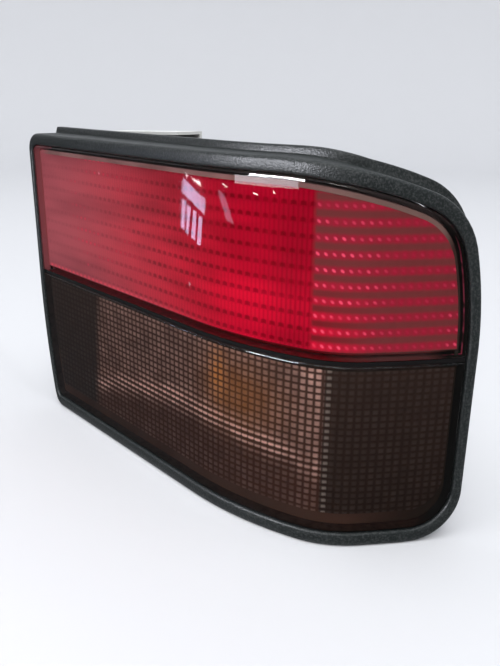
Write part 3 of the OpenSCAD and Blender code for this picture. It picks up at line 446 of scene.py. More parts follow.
def red_optics():
    """Crimson bands with fine ribs and rows of dark bows, with painted shade, a painted veil and painted glints; rows
    of bright dots as painted glints on a dull field past the bend, with painted glow along the rows.
    """
    finish = Finish("red_optics", (0.7, 0.0, 0.03), Roughness=OPTIC_ROUGH, Specular_IOR_Level=INNER_GLOSS)
    ramp, ease, blend, noise = finish.ramp, finish.ease, finish.blend, finish.noise
    times, plus, minus, unsigned = finish.times, finish.plus, finish.minus, finish.unsigned
    s, z, _ = finish.face_place()
    row = finish.math("FRACT", finish.math("DIVIDE", minus(z, RED_ROW), RED_TILE[1]))
    row_share = finish.math("FRACT", plus(row, 0.5))
    row_off = minus(row_share, 0.5)
    from_row = unsigned(row_off)
    rib = finish.wave(s, RED_TILE[0])
    bow = finish.wave(s, RED_TILE[0] * 2)
    cloud = noise(0.05, 2.0, stretch=(0.25, 0.25, 1.0))
    patch = noise(0.05, 2.0)
    # Main field: a bright band between two rows, a little darker towards each row; painted shade darkens it towards
    # the top, the foot and the bend
    rib_shade = ramp(s, 196.0, 224.0, 0.84, 0.60)
    level = times(ease(from_row, 0.06, 0.36, 0.90, 1.0), ramp(unsigned(rib), 0.3, 0.95, 1.0, rib_shade),
                  ramp(cloud, 0.38, 0.62, 0.56, 1.06), ease(z, 148.0, 162.0, 1.0, 0.72),
                  ease(s, 200.0, 222.0, 1.0, 0.70), ease(z, 92.0, 128.0, 0.84, 1.0))
    arch = unsigned(plus(minus(row_share, 0.52), times(bow, bow, 0.16)))
    bows = times(ease(arch, 0.08, 0.19, 1.0, 0.0), ramp(unsigned(bow), 0.45, 0.80, 1.0, 0.0),
                 ease(s, 20.0, 140.0, 0.25, 0.95), ramp(patch, 0.35, 0.6, 0.55, 1.0))
    level = times(level, minus(1.0, times(bows, 0.72)))
    shade, crimson = (0.16, 0.0, 0.012), (0.92, 0.008, 0.090)
    main = blend(finish.capped(level), shade, crimson)
    # Towards the inner end a painted veil of reflected light turns the field a dusky rose, with short rows of bright
    # specks as painted glints
    veil_share = ease(s, 10.0, 200.0, 1.0, 0.0)
    glint = times(ramp(from_row, 0.06, 0.16, 1.0, 0.0), ramp(unsigned(bow), 0.25, 0.65, 1.0, 0.0),
                  finish.between(s, 44.0, 118.0, 14.0), ramp(noise(0.045, 3.0), 0.47, 0.56))
    painted_veil = blend(ramp(level, 0.2, 0.95), (0.40, 0.20, 0.235), (0.64, 0.32, 0.37))
    painted_veil = blend(times(glint, 0.85), painted_veil, (1.0, 0.22, 0.34))
    main = blend(times(veil_share, 0.94), main, painted_veil)
    # Painted highlight: a bright pink line along the lowest row, fading out towards the bend
    foot = times(ease(z, 90.8, 92.6, 1.0, 0.0), ramp(s, 90.0, 170.0, 1.0, 0.0),
                 ramp(unsigned(bow), 0.1, 0.9, 0.95, 0.3))
    main = blend(foot, main, (1.0, 0.22, 0.32))
    # Field past the bend: brownish between the rows, with painted glow along the rows, warmer painted light near the
    # bend and low down, and leaning dots of painted glints that fade towards the outer end and the top
    dot_s = finish.wave(s, SIDE_TILE[0], SIDE_SPLIT)
    dot_z = times(row_off, 2 * SIDE_TILE[1] / SIDE_TILE[0])
    dot = finish.reach(plus(dot_s, times(dot_z, 0.5)), dot_z)
    fade = finish.most(ease(s, 240.0, 272.0, 1.0, 0.14), ramp(s, 291.0, 294.0, 0.0, 0.6))
    dot_glints = times(ease(dot, 0.18, 0.60, 1.0, 0.0), fade, ease(z, 158.0, 136.0, 0.3, 1.0),
                 ramp(noise(0.13, 1.0), 0.40, 0.58, 0.35, 1.3))
    glow = times(ease(from_row, 0.10, 0.42, 1.0, 0.0), ramp(unsigned(dot_s), 0.1, 1.0, 1.0, 0.7))
    dull_field = blend(glow, (0.20, 0.085, 0.085), (0.44, 0.030, 0.088))
    lit_field = blend(glow, (0.24, 0.012, 0.030), (0.95, 0.012, 0.10))
    field = blend(times(ramp(s, 232.0, 262.0, 0.8, 0.0), ramp(z, 128.0, 100.0)), dull_field, lit_field)
    side = blend(finish.capped(dot_glints), field, (1.0, 0.20, 0.38))
    finish.colour(blend(ramp(s, SIDE_SPLIT - 1.2, SIDE_SPLIT + 1.2), main, side))
    return finish.material


def smoked_optics():
    """Square pillows in painted light: brown over the lit chamber, a painted reflection along a bent streak, a
    painted amber glow by its bulb and painted shade at the ends.
    """
    finish = Finish("smoked_optics", (0.08, 0.05, 0.045), Roughness=OPTIC_ROUGH,
                    Specular_IOR_Level=INNER_GLOSS)
    ramp, ease, blend, noise = finish.ramp, finish.ease, finish.blend, finish.noise
    times, plus, minus, bell = finish.times, finish.plus, finish.minus, finish.bell
    s, z, _ = finish.face_place()
    across = finish.unsigned(finish.wave(s, SMOKED_TILE[0]))
    up = finish.unsigned(finish.wave(z, SMOKED_TILE[1]))
    pillow = times(ease(across, 0.35, 0.92, 1.0, 0.0), ease(up, 0.35, 0.92, 1.0, 0.0))
    dash = times(ease(across, 0.5, 1.0, 1.0, 0.25), ease(up, 0.1, 0.6, 1.0, 0.0))
    sparkle = ramp(noise(0.13, 2.0), 0.36, 0.66, 0.62, 1.3)
    # Painted light of the lit chamber, from its slanting inner edge to the split; the streak, a painted reflection,
    # bends like the reflector's bowl
    inner_edge = plus(54.5, times(z, 0.12))
    lit = times(ease(minus(s, inner_edge), -5.0, 5.0), ramp(s, SMOKED_SPLIT - 0.6, SMOKED_SPLIT + 0.6, 1.0, 0.0))
    bend = minus(s, 158.4)
    streak_z = minus(42.2, times(bend, bend, 0.00197))
    reflected_streak = times(bell(z, streak_z, 5.5), ramp(s, 60.0, 130.0, 0.50, 1.0), ramp(s, 196.0, 226.0, 1.0, 0.25))
    level = plus(times(ease(minus(z, streak_z), -6.0, 8.0), 0.22), 0.07)
    level = plus(level, times(finish.between(s, 224.6, 235.5, 1.0), ease(z, 50.0, 78.0, 0.2, 1.0), 0.34))
    level = plus(times(level, pillow, sparkle), times(reflected_streak, dash, sparkle, 1.1))
    # Painted light of the lit chamber between the pillows, warm below and grey above, and painted shade outside it
    chamber_light = blend(ramp(z, 30.0, 80.0), (0.050, 0.021, 0.014), (0.070, 0.038, 0.031))
    unlit = blend(ramp(z, 15.0, 70.0), (0.022, 0.0125, 0.0095), (0.036, 0.0215, 0.0175))
    lit_brown = blend(finish.capped(times(lit, level)), blend(lit, unlit, chamber_light), (1.0, 0.64, 0.56))
    # Painted glow round the bulb, stronger on the pillows, and a brighter painted amber glow at the bulb itself
    haze = times(bell(s, 190.0, 24.0), bell(z, 59.0, 17.0), plus(0.26, times(pillow, 0.50)))
    lamp = times(bell(s, 175.5, 5.5), bell(z, 66.0, 13.0), pillow, 0.62)
    amber_glow = blend(lamp, blend(haze, lit_brown, (0.34, 0.125, 0.012)), (1.0, 0.40, 0.09))
    # Painted highlights: one column of bright dots past the lit chamber, and a dim painted light on the grid outside
    # it
    column = times(finish.between(s, SMOKED_SPLIT + 1.2, SMOKED_SPLIT + 3.4, 0.5), ramp(up, 0.2, 0.7, 0.30, 0.0))
    ends = times(minus(1.0, lit), pillow, sparkle, 0.035)
    finish.colour(blend(plus(column, ends), amber_glow, (0.62, 0.55, 0.50)))
    return finish.material


def border_finish(name, part):
    """Plain border of a lens with the side wall showing through it, coloured with painted light and shade."""
    finish = Finish(name, (0.1, 0.08, 0.07), Roughness=0.3, Specular_IOR_Level=INNER_GLOSS)
    ramp, blend = finish.ramp, finish.blend
    s, z, _ = finish.face_place()
    cloud = finish.noise(0.03, 2.0)
    if part == "red":
        # Painted reflection: grey along the top, greener past the bend; lower down a rose painted veil towards the
        # inner end fading to dark red, and grey-brown painted reflection past the bend
        upper = blend(ramp(cloud, 0.4, 0.6), (0.28, 0.29, 0.27), (0.38, 0.41, 0.38))
        upper = blend(ramp(s, 215.0, 250.0), upper, (0.22, 0.27, 0.23))
        lower = blend(ramp(s, 60.0, 190.0), (0.30, 0.10, 0.12), (0.13, 0.005, 0.014))
        lower = blend(ramp(s, 235.0, 275.0), lower, (0.12, 0.085, 0.08))
        colour = blend(finish.ease(z, 110.0, 150.0), lower, upper)
        # Painted shade at the outer end, and a rose painted veil at the inner end
        colour = blend(ramp(s, 286.0, 292.0), colour, (0.045, 0.055, 0.045))
        colour = blend(ramp(s, 6.0, 14.0, 0.9, 0.0), colour, (0.48, 0.24, 0.27))
    else:
        # Warmer brown at the foot, greyer above, and painted shade towards the outer end
        foot = blend(ramp(cloud, 0.35, 0.65), (0.042, 0.020, 0.014), (0.065, 0.034, 0.025))
        colour = blend(ramp(z, 14.0, 60.0), foot, (0.030, 0.026, 0.022))
        colour = blend(ramp(s, 250.0, 290.0), colour, (0.020, 0.014, 0.011))
    finish.colour(colour)
    return finish.material


def edge_material(name, colour, outer, painted_highlight=None):
    """Side walls of a lens, seen through its plain border, with painted light and shade; a broken painted highlight
    may run down the outer wall.
    """
    finish = Finish(name, colour, Roughness=0.25, Specular_IOR_Level=INNER_GLOSS)
    ramp, blend = finish.ramp, finish.blend
    s, z, d = finish.face_place()
    wall = blend(ramp(finish.noise(0.3, 2.0), 0.35, 0.7), colour, tuple(c * 0.6 for c in colour))
    if painted_highlight:
        # Painted reflection: pinkish brown past the bend and grey up high; rose painted light at the inner end, where
        # the rim shades the wall
        wall = blend(ramp(s, 235.0, 262.0), wall, (0.26, 0.15, 0.14))
        wall = blend(ramp(z, 110.0, 145.0), wall, (0.19, 0.20, 0.18))
        wall = blend(ramp(s, 2.6, 4.0, 0.9, 0.0), wall, (0.80, 0.42, 0.46))
    # Painted shade towards the outer end
    wall = blend(ramp(s, 284.0, 294.0), wall, outer)
    if painted_highlight:
        # Painted highlight: a broken bright line down the outer wall
        broken = ramp(finish.noise(0.16, 1.0), 0.42, 0.56, 0.12, 1.0)
        highlight_run = finish.times(finish.between(d, 4.4, 5.6, 0.3), ramp(s, 292.0, 296.0), broken)
        wall = blend(highlight_run, wall, painted_highlight)
    finish.colour(wall)
    return finish.material


def tile_tree():
    """Rows of tiles, each bulging across and up, joined into one flat sheet in s and z."""
    tree = bpy.data.node_groups.new("optic_tiles", "GeometryNodeTree")
    face = tree.interface
    face.new_socket("Geometry", in_out="INPUT", socket_type="NodeSocketGeometry")
    for name in ("Columns", "Rows", "Cells Across", "Cells Up"):
        face.new_socket(name, in_out="INPUT", socket_type="NodeSocketInt")
    for name in ("Tile Width", "Tile Height", "Bulge Across", "Bulge Up"):
        face.new_socket(name, in_out="INPUT", socket_type="NodeSocketFloat")
    face.new_socket("Material", in_out="INPUT", socket_type="NodeSocketMaterial")
    face.new_socket("Geometry", in_out="OUTPUT", socket_type="NodeSocketGeometry")
    nodes, links = tree.nodes, tree.links
    given = nodes.new("NodeGroupInput").outputs
    result = nodes.new("NodeGroupOutput")

    def calc(operation, a, b):
        node = nodes.new("ShaderNodeMath")
        node.operation = operation
        for socket, value in zip(node.inputs, (a, b)):
            if isinstance(value, bpy.types.NodeSocket):
                links.new(value, socket)
            else:
                socket.default_value = value
        return node.outputs[0]

    def sheet(width, height, across, up):
        node = nodes.new("GeometryNodeMeshGrid")
        for socket, value in zip(("Size X", "Size Y", "Vertices X", "Vertices Y"), (width, height, across, up)):
            links.new(value, node.inputs[socket])
        return node.outputs["Mesh"]

    tile = sheet(given["Tile Width"], given["Tile Height"],
                 calc("ADD", given["Cells Across"], 1), calc("ADD", given["Cells Up"], 1))
    split = nodes.new("ShaderNodeSeparateXYZ")
    links.new(nodes.new("GeometryNodeInputPosition").outputs[0], split.inputs[0])
    height = None
    for axis, size, bulge in ((0, "Tile Width", "Bulge Across"), (1, "Tile Height", "Bulge Up")):
        share = calc("DIVIDE", split.outputs[axis], calc("MULTIPLY", given[size], 0.5))
        part = calc("MULTIPLY", given[bulge], calc("SUBTRACT", 1.0, calc("MULTIPLY", share, share)))
        height = part if height is None else calc("ADD", height, part)
    lift = nodes.new("ShaderNodeCombineXYZ")
    links.new(height, lift.inputs["Z"])
    raised = nodes.new("GeometryNodeSetPosition")
    links.new(tile, raised.inputs["Geometry"])
    links.new(lift.outputs[0], raised.inputs["Offset"])
    centres = sheet(calc("MULTIPLY", given["Tile Width"], calc("SUBTRACT", given["Columns"], 1)),
                    calc("MULTIPLY", given["Tile Height"], calc("SUBTRACT", given["Rows"], 1)),
                    given["Columns"], given["Rows"])
    copies = nodes.new("GeometryNodeInstanceOnPoints")
    links.new(centres, copies.inputs["Points"])
    links.new(raised.outputs[0], copies.inputs["Instance"])
    real = nodes.new("GeometryNodeRealizeInstances")
    links.new(copies.outputs[0], real.inputs[0])
    painted = nodes.new("GeometryNodeSetMaterial")
    links.new(real.outputs[0], painted.inputs["Geometry"])
    links.new(given["Material"], painted.inputs["Material"])
    links.new(painted.outputs[0], result.inputs[0])
    return tree


TILES = tile_tree()


def tiled_heights(columns, rows, tile, bulge, cells, material):
    """Runs the tile tree and returns the sheet's points, sorted into a grid of (s, z, height)."""
    holder = bpy.data.objects.new("tile_holder", bpy.data.meshes.new("tile_holder"))
    bpy.context.scene.collection.objects.link(holder)
    modifier = holder.modifiers.new("tiles", "NODES")
    modifier.node_group = TILES
    values = {"Columns": columns, "Rows": rows, "Cells Across": cells[0], "Cells Up": cells[1],
              "Tile Width": tile[0], "Tile Height": tile[1], "Bulge Across": bulge[0], "Bulge Up": bulge[1],
              "Material": material}
    for item in TILES.interface.items_tree:
        if item.in_out == "INPUT" and item.name in values:
            modifier[item.identifier] = values[item.name]
    evaluated = holder.evaluated_get(bpy.context.evaluated_depsgraph_get())
    mesh = bpy.data.meshes.new_from_object(evaluated)
    flat = np.empty(len(mesh.vertices) * 3, np.float32)
    mesh.vertices.foreach_get("co", flat)
    flat = flat.reshape(-1, 3).astype(float)
    holder.modifiers.remove(modifier)
    bpy.data.objects.remove(holder)
    bpy.data.meshes.remove(mesh)
    flat[:, 0] += columns * tile[0] / 2
    flat[:, 1] += rows * tile[1] / 2
    i = np.rint(flat[:, 0] / tile[0] * cells[0]).astype(int)
    j = np.rint(flat[:, 1] / tile[1] * cells[1]).astype(int)
    height = np.zeros((columns * cells[0] + 1, rows * cells[1] + 1))
    height[i, j] = flat[:, 2]
    return height


def optic_panel(name, left, right, bottom, rows, tile, bulge, cells, material, part):
    """Tiled panel wrapped on the inside of a lens, cut off along the plain border."""
    columns = math.ceil((right - left) / tile[0])
    height = tiled_heights(columns, rows, tile, bulge, cells, material)
    s = left + np.arange(height.shape[0]) * tile[0] / cells[0]
    z = bottom + np.arange(height.shape[1]) * tile[1] / cells[1]
    keep = s < right - 0.2
    s, height = np.append(s[keep], right), height[:np.count_nonzero(keep) + 1]
    floor, roof = part_lines(part, optic_outline(), s, BORDER_JOINT)
    zz = np.clip(z[None, :], floor[:, None], np.maximum(roof, floor + LEAST)[:, None])
    ss = np.repeat(s[:, None], len(z), 1)
    deep = OPTIC_DEPTH + bulge[0] + bulge[1]
    front = np.stack([ss, zz, deep - height], -1).reshape(-1, 3)
    m = len(z)
    ends = zz[:, [0, -1]].ravel()
    back = np.stack([np.repeat(s, 2), ends, np.full(len(ends), deep + OPTIC_T)], -1)
    places = np.concatenate([front, back])
    base = len(front)
    n = len(s)
    faces = [(i * m + j, (i + 1) * m + j, (i + 1) * m + j + 1, i * m + j + 1)
             for i in range(n - 1) for j in range(m - 1)
             if zz[i, j + 1] > zz[i, j] or zz[i + 1, j + 1] > zz[i + 1, j]]
    for i in range(n - 1):
        low0, low1, top0, top1 = base + 2 * i, base + 2 * i + 2, base + 2 * i + 1, base + 2 * i + 3
        faces.append((low0, top0, top1, low1))
        faces.append((i * m, low0, low1, (i + 1) * m))
        faces.append((i * m + m - 1, (i + 1) * m + m - 1, top1, top0))
    for i in (0, n - 1):
        rim = [i * m + j for j in range(m)]
        faces.append(tuple([base + 2 * i] + rim + [base + 2 * i + 1]))
    return mesh_piece(name, on_face(*places.T), faces, [material], face_data=places, smooth=70)


def border_ring(name, part, material):
    """Plain strip between the optics and the lens side wall, as one flat ring."""
    def loop(outline, from_joint, depth):
        s = crowded(outline.left, outline.right, 90)
        low, high = part_lines(part, outline, s, from_joint)
        return round_loop(s, np.minimum(low, high - LEAST), np.maximum(high, low + LEAST), depth)

    from_wall, from_field = LEG_T + 0.1, 0.4
    rim, field = lens_outline(-from_wall), optic_outline(-from_field)
    front, back = OPTIC_DEPTH + 0.5, OPTIC_DEPTH + 1.5
    loops = [loop(rim, from_wall, front), loop(field, BORDER_JOINT + from_field, front),
             loop(field, BORDER_JOINT + from_field, back), loop(rim, from_wall, back)]
    points = np.concatenate(loops)
    return mesh_piece(name, on_face(*points.T), strips(loops), [material], face_data=points, smooth=30)


EDGE_ROUND = 0.9
LEG_DEPTH, LEG_T, LENS_T = 11.0, 2.4, 2.8


def lens_skin(name, part, face, inside, side):
    """Clear pan of a lens: polished outside, rounded edge, side walls and a plain inside."""
    rows = np.array([0.0, 0.012, 0.3, 0.7, 0.988, 1.0])

    def loop(u, depth):
        edge = lens_outline(u)
        s = crowded(edge.left, edge.right, 110)
        low, high = part_lines(part, edge, s, -u)
        if part == "smoked":
            low = np.minimum(low, high - LEAST)
        else:
            high = np.maximum(high, low + LEAST)
        return round_loop(s, low, high, depth)

    turn = np.radians([0, 22, 45, 67, 90])
    loops = [loop(-EDGE_ROUND * (1 - math.sin(a)), EDGE_ROUND * (1 - math.cos(a))) for a in turn]
    loops += [loop(0, LEG_DEPTH), loop(-LEG_T, LEG_DEPTH), loop(-LEG_T, LENS_T)]
    n = len(loops[0])
    columns = n // 2
    faces = strips(loops, closed=False)
    slots = [0] * (4 * n) + [2] * (3 * n)
    points = np.concatenate(loops)

    def cap(ring, start, depth, slot):
        """Fills one end of the stack by rows between its lower and its upper edge."""
        nonlocal points, faces, slots
        s, low, high = ring[:columns, 0], ring[:columns, 1], ring[columns:, 1][::-1]
        inner = np.stack([np.repeat(s[None], len(rows) - 2, 0),
                          low + (high - low) * rows[1:-1, None], np.full((len(rows) - 2, columns), depth)], -1)
        base = len(points)
        points = np.concatenate([points, inner.reshape(-1, 3)])

        def at(row, column):
            if row == 0:
                return start + column
            if row == len(rows) - 1:
                return start + n - 1 - column
            return base + (row - 1) * columns + column

        for row in range(len(rows) - 1):
            for column in range(columns - 1):
                faces.append((at(row, column), at(row, column + 1),
                              at(row + 1, column + 1), at(row + 1, column)))
                slots.append(slot)
        for column in (0, columns - 1):
            faces.append(tuple(at(row, column) for row in range(len(rows))))
            slots.append(slot)

    cap(loops[0], 0, 0.0, 0)
    cap(loops[-1], (len(loops) - 1) * n, LENS_T, 1)
    return mesh_piece(name, on_face(*points.T), faces, [face, inside, side], slots, points)


def bezel_skin(material):
    """Rounded front rim, side wall, stepped flange and rear return, swept round the lenses."""
    edge = Outline(-RIM_INNER, LENS_W + RIM_OUTER, -RIM_BOTTOM, LENS_H + RIM_TOP, RIM_OUTER)
    flange = Outline(-RIM_INNER, LENS_W + RIM_OUTER + FLANGE_SIDE, -RIM_BOTTOM, LENS_H + RIM_TOP + FLANGE_RISE,
                     RIM_OUTER)

    def loop(outline):
        s = crowded(outline.left, outline.right, 130)
        return round_loop(s, outline.low(s), outline.high(s))[:, :2]

    inner, outer, raised = loop(lens_outline(RIM_GAP)), loop(edge), loop(flange)
    # The flange starts short of the inner end and dies away down the outer edge
    top = np.arange(len(raised)) >= len(raised) // 2
    share = np.clip((raised[:, 1] - JOINT_Z) / FLANGE_FADE, 0, 1) * top * (raised[:, 0] > FLANGE_START)
    raised = outer + (raised - outer) * share[:, None]
    wall = inner + (outer - inner) * (1 - RIM_WALL / RIM_WIDTH)
    rear = loop(lens_outline(RETURN_GAP))
    loops = []

    def put(flat, depth):
        loops.append(np.concatenate([flat, np.full((len(flat), 1), depth)], 1))

    put(inner, LIP_DEPTH)
    put(inner, LIP_FRONT)
    # Rounded front: share of the way from the lip to the outer edge, and how far it stands proud there
    for share, proud in ((0.02, 0.3), (0.06, 0.66), (0.12, 0.9), (0.22, 1.05), (0.4, 1.16), (0.6, 1.2),
                         (0.76, 1.18), (0.85, 1.04), (0.91, 0.78), (0.955, 0.36), (0.985, -0.2)):
        put(inner + (outer - inner) * share, -RIM_PROUD * proud / 1.2)
    put(outer, 0.8)
    put(outer, FLANGE_DEPTH - 0.8)
    # Fillet up to the flange, the flange with its rounded edges, and the return behind it
    for share, depth in ((0.12, -0.1), (0.8, 0.05), (0.95, 0.3), (1.0, 0.9), (1.0, FLANGE_T - 0.5), (0.95, FLANGE_T)):
        put(outer + (raised - outer) * share, FLANGE_DEPTH + depth)
    put(rear, FLANGE_DEPTH + FLANGE_T)
    put(rear, FLANGE_DEPTH)
    put(wall, FLANGE_DEPTH)
    put(wall, LIP_DEPTH)
    points = np.concatenate(loops)
    return mesh_piece("bezel_skin", on_face(*points.T), strips(loops), [material], face_data=points, smooth=50)


# Finishes
BLACK_GRAIN = moulded("grained_black", (0.0110, 0.0138, 0.0135), 0.40, grain=0.17, grain_per_mm=1.5, dust=0.11,
                      speck_per_mm=1.0, Specular_IOR_Level=0.18)
HOUSING_BLACK = moulded("housing_black", (0.018, 0.018, 0.019), 0.5, grain=0.05, dust=0.08)
SEAL_BLACK = moulded("seal_black", (0.02, 0.02, 0.02), 0.75, dust=0.1)
FOAM = moulded("foam_grey", (0.045, 0.046, 0.05), 0.9, grain=0.5, grain_per_mm=0.9, dust=0.2)
STRIP_BLACK = moulded("joint_black", (0.006, 0.005, 0.005), 0.14)
CREAM = moulded("natural_plastic", (0.62, 0.60, 0.53), 0.45, dust=0.2)
SOCKET_BLACK = moulded("socket_black", (0.04, 0.04, 0.045), 0.5, dust=0.1)
BRACKET_GREY = moulded("bracket_grey", (0.60, 0.60, 0.57), 0.45, dust=0.3)
ZINC = metal("zinc_plate", (0.62, 0.63, 0.62), 0.32, (1, 6, 1))
BRASS = metal("contact_brass", (0.80, 0.60, 0.28), 0.28, (6, 1, 1))
CAP_METAL = metal("cap_metal", (0.72, 0.66, 0.52), 0.3, (1, 5, 1))
COATED = metal("reflector_coat", (0.86, 0.87, 0.88), 0.12)


def bulb_glass(name, colour, amount):
    """Bulb glass: clear or amber, very smooth, with faint dust."""
    finish = Finish(name, colour, Roughness=0.03, Alpha=amount)
    finish.roughness(finish.ramp(finish.noise(0.4, 3.0), 0.4, 0.7, 0.02, 0.12))
    return finish.material


CLEAR_GLASS = bulb_glass("clear_glass", (0.92, 0.93, 0.94), 0.3)
AMBER_GLASS = bulb_glass("amber_glass", (0.95, 0.38, 0.03), 0.65)

NODE_FINISH = {
    "housing": HOUSING_BLACK, "joint_strip": STRIP_BLACK, "lens_seal": SEAL_BLACK, "body_gasket": FOAM,
    "upper_reflector": COATED, "lower_reflector": COATED,
    "stop_bulb_glass": CLEAR_GLASS, "tail_bulb_glass": CLEAR_GLASS, "indicator_bulb_glass": AMBER_GLASS,
    "stop_bulb_cap": CAP_METAL, "tail_bulb_cap": CAP_METAL, "indicator_bulb_cap": CAP_METAL,
    "stop_holder": CREAM, "tail_holder": CREAM, "indicator_holder": CREAM, "bulb_contacts": BRASS,
    "bulb_carrier": CREAM, "carrier_seal": SEAL_BLACK, "feed_strips": BRASS, "earth_strip": BRASS,
    "connector_socket": SOCKET_BLACK, "connector_terminals": BRASS,
    "mounting_studs": ZINC, "stud_washers": ZINC, "stud_nuts": ZINC, "breather_cap": SEAL_BLACK,
    "fixing_bracket": BRACKET_GREY, "bracket_rivets": ZINC,
    "bezel": BLACK_GRAIN, "red_lens": SEAL_BLACK, "smoked_lens": SEAL_BLACK,
}
for node_name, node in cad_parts.items():
    node.data.materials.clear()
    node.data.materials.append(NODE_FINISH[node_name])


def dress(piece, slot, *nodes):
    """Puts a finished piece on the lamp in place of the CAD nodes that it stands for."""
    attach(piece, "root")
    if nodes:
        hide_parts(*nodes)


dress(bezel_skin(BLACK_GRAIN), "bezel_plastic", "bezel")

RED_OPTICS = red_optics()
SMOKED_OPTICS = smoked_optics()
# Side walls: own colour, painted shade at the outer end, and on the red one a painted highlight down its outer wall
RED_SIDE = edge_material("red_side_wall", (0.30, 0.006, 0.016), (0.022, 0.030, 0.024), (0.85, 0.16, 0.30))
SMOKED_SIDE = edge_material("smoked_side_wall", (0.070, 0.036, 0.027), (0.020, 0.020, 0.018))
# Small scuffs on the red lens, by s, z and size
SCUFFS = ((3.9, 106.5, 2.2), (78.4, 155.5, 2.0), (159.0, 109.0, 3.0))
dress(lens_skin("red_skin", "red", clear_face("red_clear", (0.98, 0.80, 0.80), SCUFFS),
                inner_face("red_clear_inside", (1.0, 0.86, 0.86)), RED_SIDE),
      "red_acrylic", "red_lens")
dress(lens_skin("smoked_skin", "smoked", clear_face("smoked_clear", (0.93, 0.90, 0.88)),
                inner_face("smoked_clear_inside", (0.94, 0.92, 0.90)), SMOKED_SIDE),
      "smoked_acrylic", "smoked_lens")

dress(border_ring("red_border", "red", border_finish("red_border", "red")), "red_acrylic")
dress(border_ring("smoked_border", "smoked", border_finish("smoked_border", "smoked")), "smoked_acrylic")

edge_left, edge_right = BORDER_SIDE, LENS_W - BORDER_SIDE
row_foot = RED_ROW - RED_TILE[1]
dress(optic_panel("red_main_optics", edge_left, SIDE_SPLIT, row_foot, 11, RED_TILE, (0.16, 0.12), (4, 8),
                  RED_OPTICS, "red"), "red_acrylic")
dress(optic_panel("red_side_optics", SIDE_SPLIT, edge_right, row_foot + RED_TILE[1] / 2, 11, SIDE_TILE,
                  (0.1, 0.15), (5, 8), RED_OPTICS, "red"), "red_acrylic")
dress(optic_panel("smoked_pillows", edge_left, edge_right, 0.0, 25, SMOKED_TILE, (0.25, 0.22), (5, 4),
                  SMOKED_OPTICS, "smoked"), "smoked_acrylic")


# Studio: a pale round floor that sweeps up into a wall, soft light from above and a tall window
def stage_piece(name, corners, faces, colour, strength=0.0):
    mesh = bpy.data.meshes.new(name)
    mesh.from_pydata([tuple(c) for c in corners], [], faces)
    piece = bpy.data.objects.new(name, mesh)
    bpy.context.scene.collection.objects.link(piece)
    mesh.shade_smooth()
    finish = Finish(name + "_paint", colour, Roughness=0.85)
    if strength:
        finish.shader.inputs["Emission Color"].default_value = (*colour, 1.0)
        finish.shader.inputs["Emission Strength"].default_value = strength
    mesh.materials.append(finish.material)
    return piece


FLOOR_R, SWEEP_R, WALL_TOP = 1.7, 0.7, 2.6


def floor_bowl():
    """Round floor with a swept-up wall."""
    profile = [(0.6, 0.0)]
    for a in np.radians(np.linspace(0, 90, 13)):
        profile.append((FLOOR_R + SWEEP_R * math.sin(a), SWEEP_R * (1 - math.cos(a))))
    profile.append((FLOOR_R + SWEEP_R, WALL_TOP))
    around = 72
    turn = np.arange(around) / around * 2 * math.pi
    corners = [(r * math.cos(a), r * math.sin(a), z) for r, z in profile for a in turn]
    faces = [tuple(range(around))]
    for low in range(0, (len(profile) - 1) * around, around):
        high = low + around
        faces += [(low + j, high + j, high + (j + 1) % around, low + (j + 1) % around) for j in range(around)]
    stage_piece("floor", corners, faces, (0.57, 0.57, 0.58))


floor_bowl()


def soft_light(name, place, aim, size, power):
    data = bpy.data.lights.new(name, "AREA")
    data.shape = "RECTANGLE"
    data.size, data.size_y = size
    data.energy = power
    light = bpy.data.objects.new(name, data)
    turn = (Vector(aim) - Vector(place)).to_track_quat("-Z", "Y").to_matrix().to_4x4()
    light.matrix_world = Matrix.Translation(place) @ turn
    bpy.context.scene.collection.objects.link(light)


CENTRE = (0.0, 0.0, 0.09)
soft_light("ceiling_light", (0.3, -0.5, 2.3), CENTRE, (2.2, 2.2), 38)
soft_light("front_light", (1.2, -1.5, 1.3), CENTRE, (0.9, 0.9), 18)

world = bpy.data.worlds.new("studio")
bpy.context.scene.world = world
world.use_nodes = True
world.node_tree.nodes["Background"].inputs["Color"].default_value = (0.86, 0.90, 0.96, 1.0)
world.node_tree.nodes["Background"].inputs["Strength"].default_value = 1.5

# Camera at the photograph's view: 500 by 666 pixels, focal length in pixels
PHOTO_H = 666
FOCAL_PX = 700
SENSOR = 24.0
EYE = ((424.893 + START_X) * MM, (-200.563 + FACE_Y) * MM, 204.883 * MM)
AZIMUTH, PITCH, ROLL = math.radians(47.833), math.radians(18.89), math.radians(0.619)
forward = Vector((-math.sin(AZIMUTH) * math.cos(PITCH), math.cos(AZIMUTH) * math.cos(PITCH), -math.sin(PITCH)))
level = forward.cross(Vector((0, 0, 1))).normalized()
upright = level.cross(forward)
right = level * math.cos(ROLL) + upright * math.sin(ROLL)
up = right.cross(forward)
lens = bpy.data.cameras.new("photo_camera")
lens.sensor_fit = "VERTICAL"
lens.sensor_height = SENSOR
lens.lens = FOCAL_PX / PHOTO_H * SENSOR
lens.clip_start = 0.01
camera = bpy.data.objects.new("photo_camera", lens)
camera.matrix_world = Matrix.Translation(EYE) @ Matrix((right, up, -forward)).transposed().to_4x4()
bpy.context.scene.collection.objects.link(camera)
bpy.context.scene.camera = camera
bpy.context.scene.view_settings.view_transform = "Standard"


def mirrored(s, z, reach):
    """What the camera sees mirrored at s and z on the lens face, reach metres away from it."""
    point = Vector(on_face(s, z, 0.0).ravel())
    heading = float(plan([s])[0][0])
    normal = Vector((math.sin(heading), -math.cos(heading), 0.0))
    ray = (point - Vector(EYE)).normalized()
    return point + (ray - 2 * ray.dot(normal) * normal) * reach


def gloss_only(piece):
    """Leaves a stage piece to the mirror images alone."""
    for kind in ("camera", "diffuse", "transmission", "shadow"):
        setattr(piece, "visible_" + kind, False)


PANE_REACH = 0.3
SKY, DAYLIGHT = (0.60, 0.67, 1.0), (0.84, 0.85, 0.92)


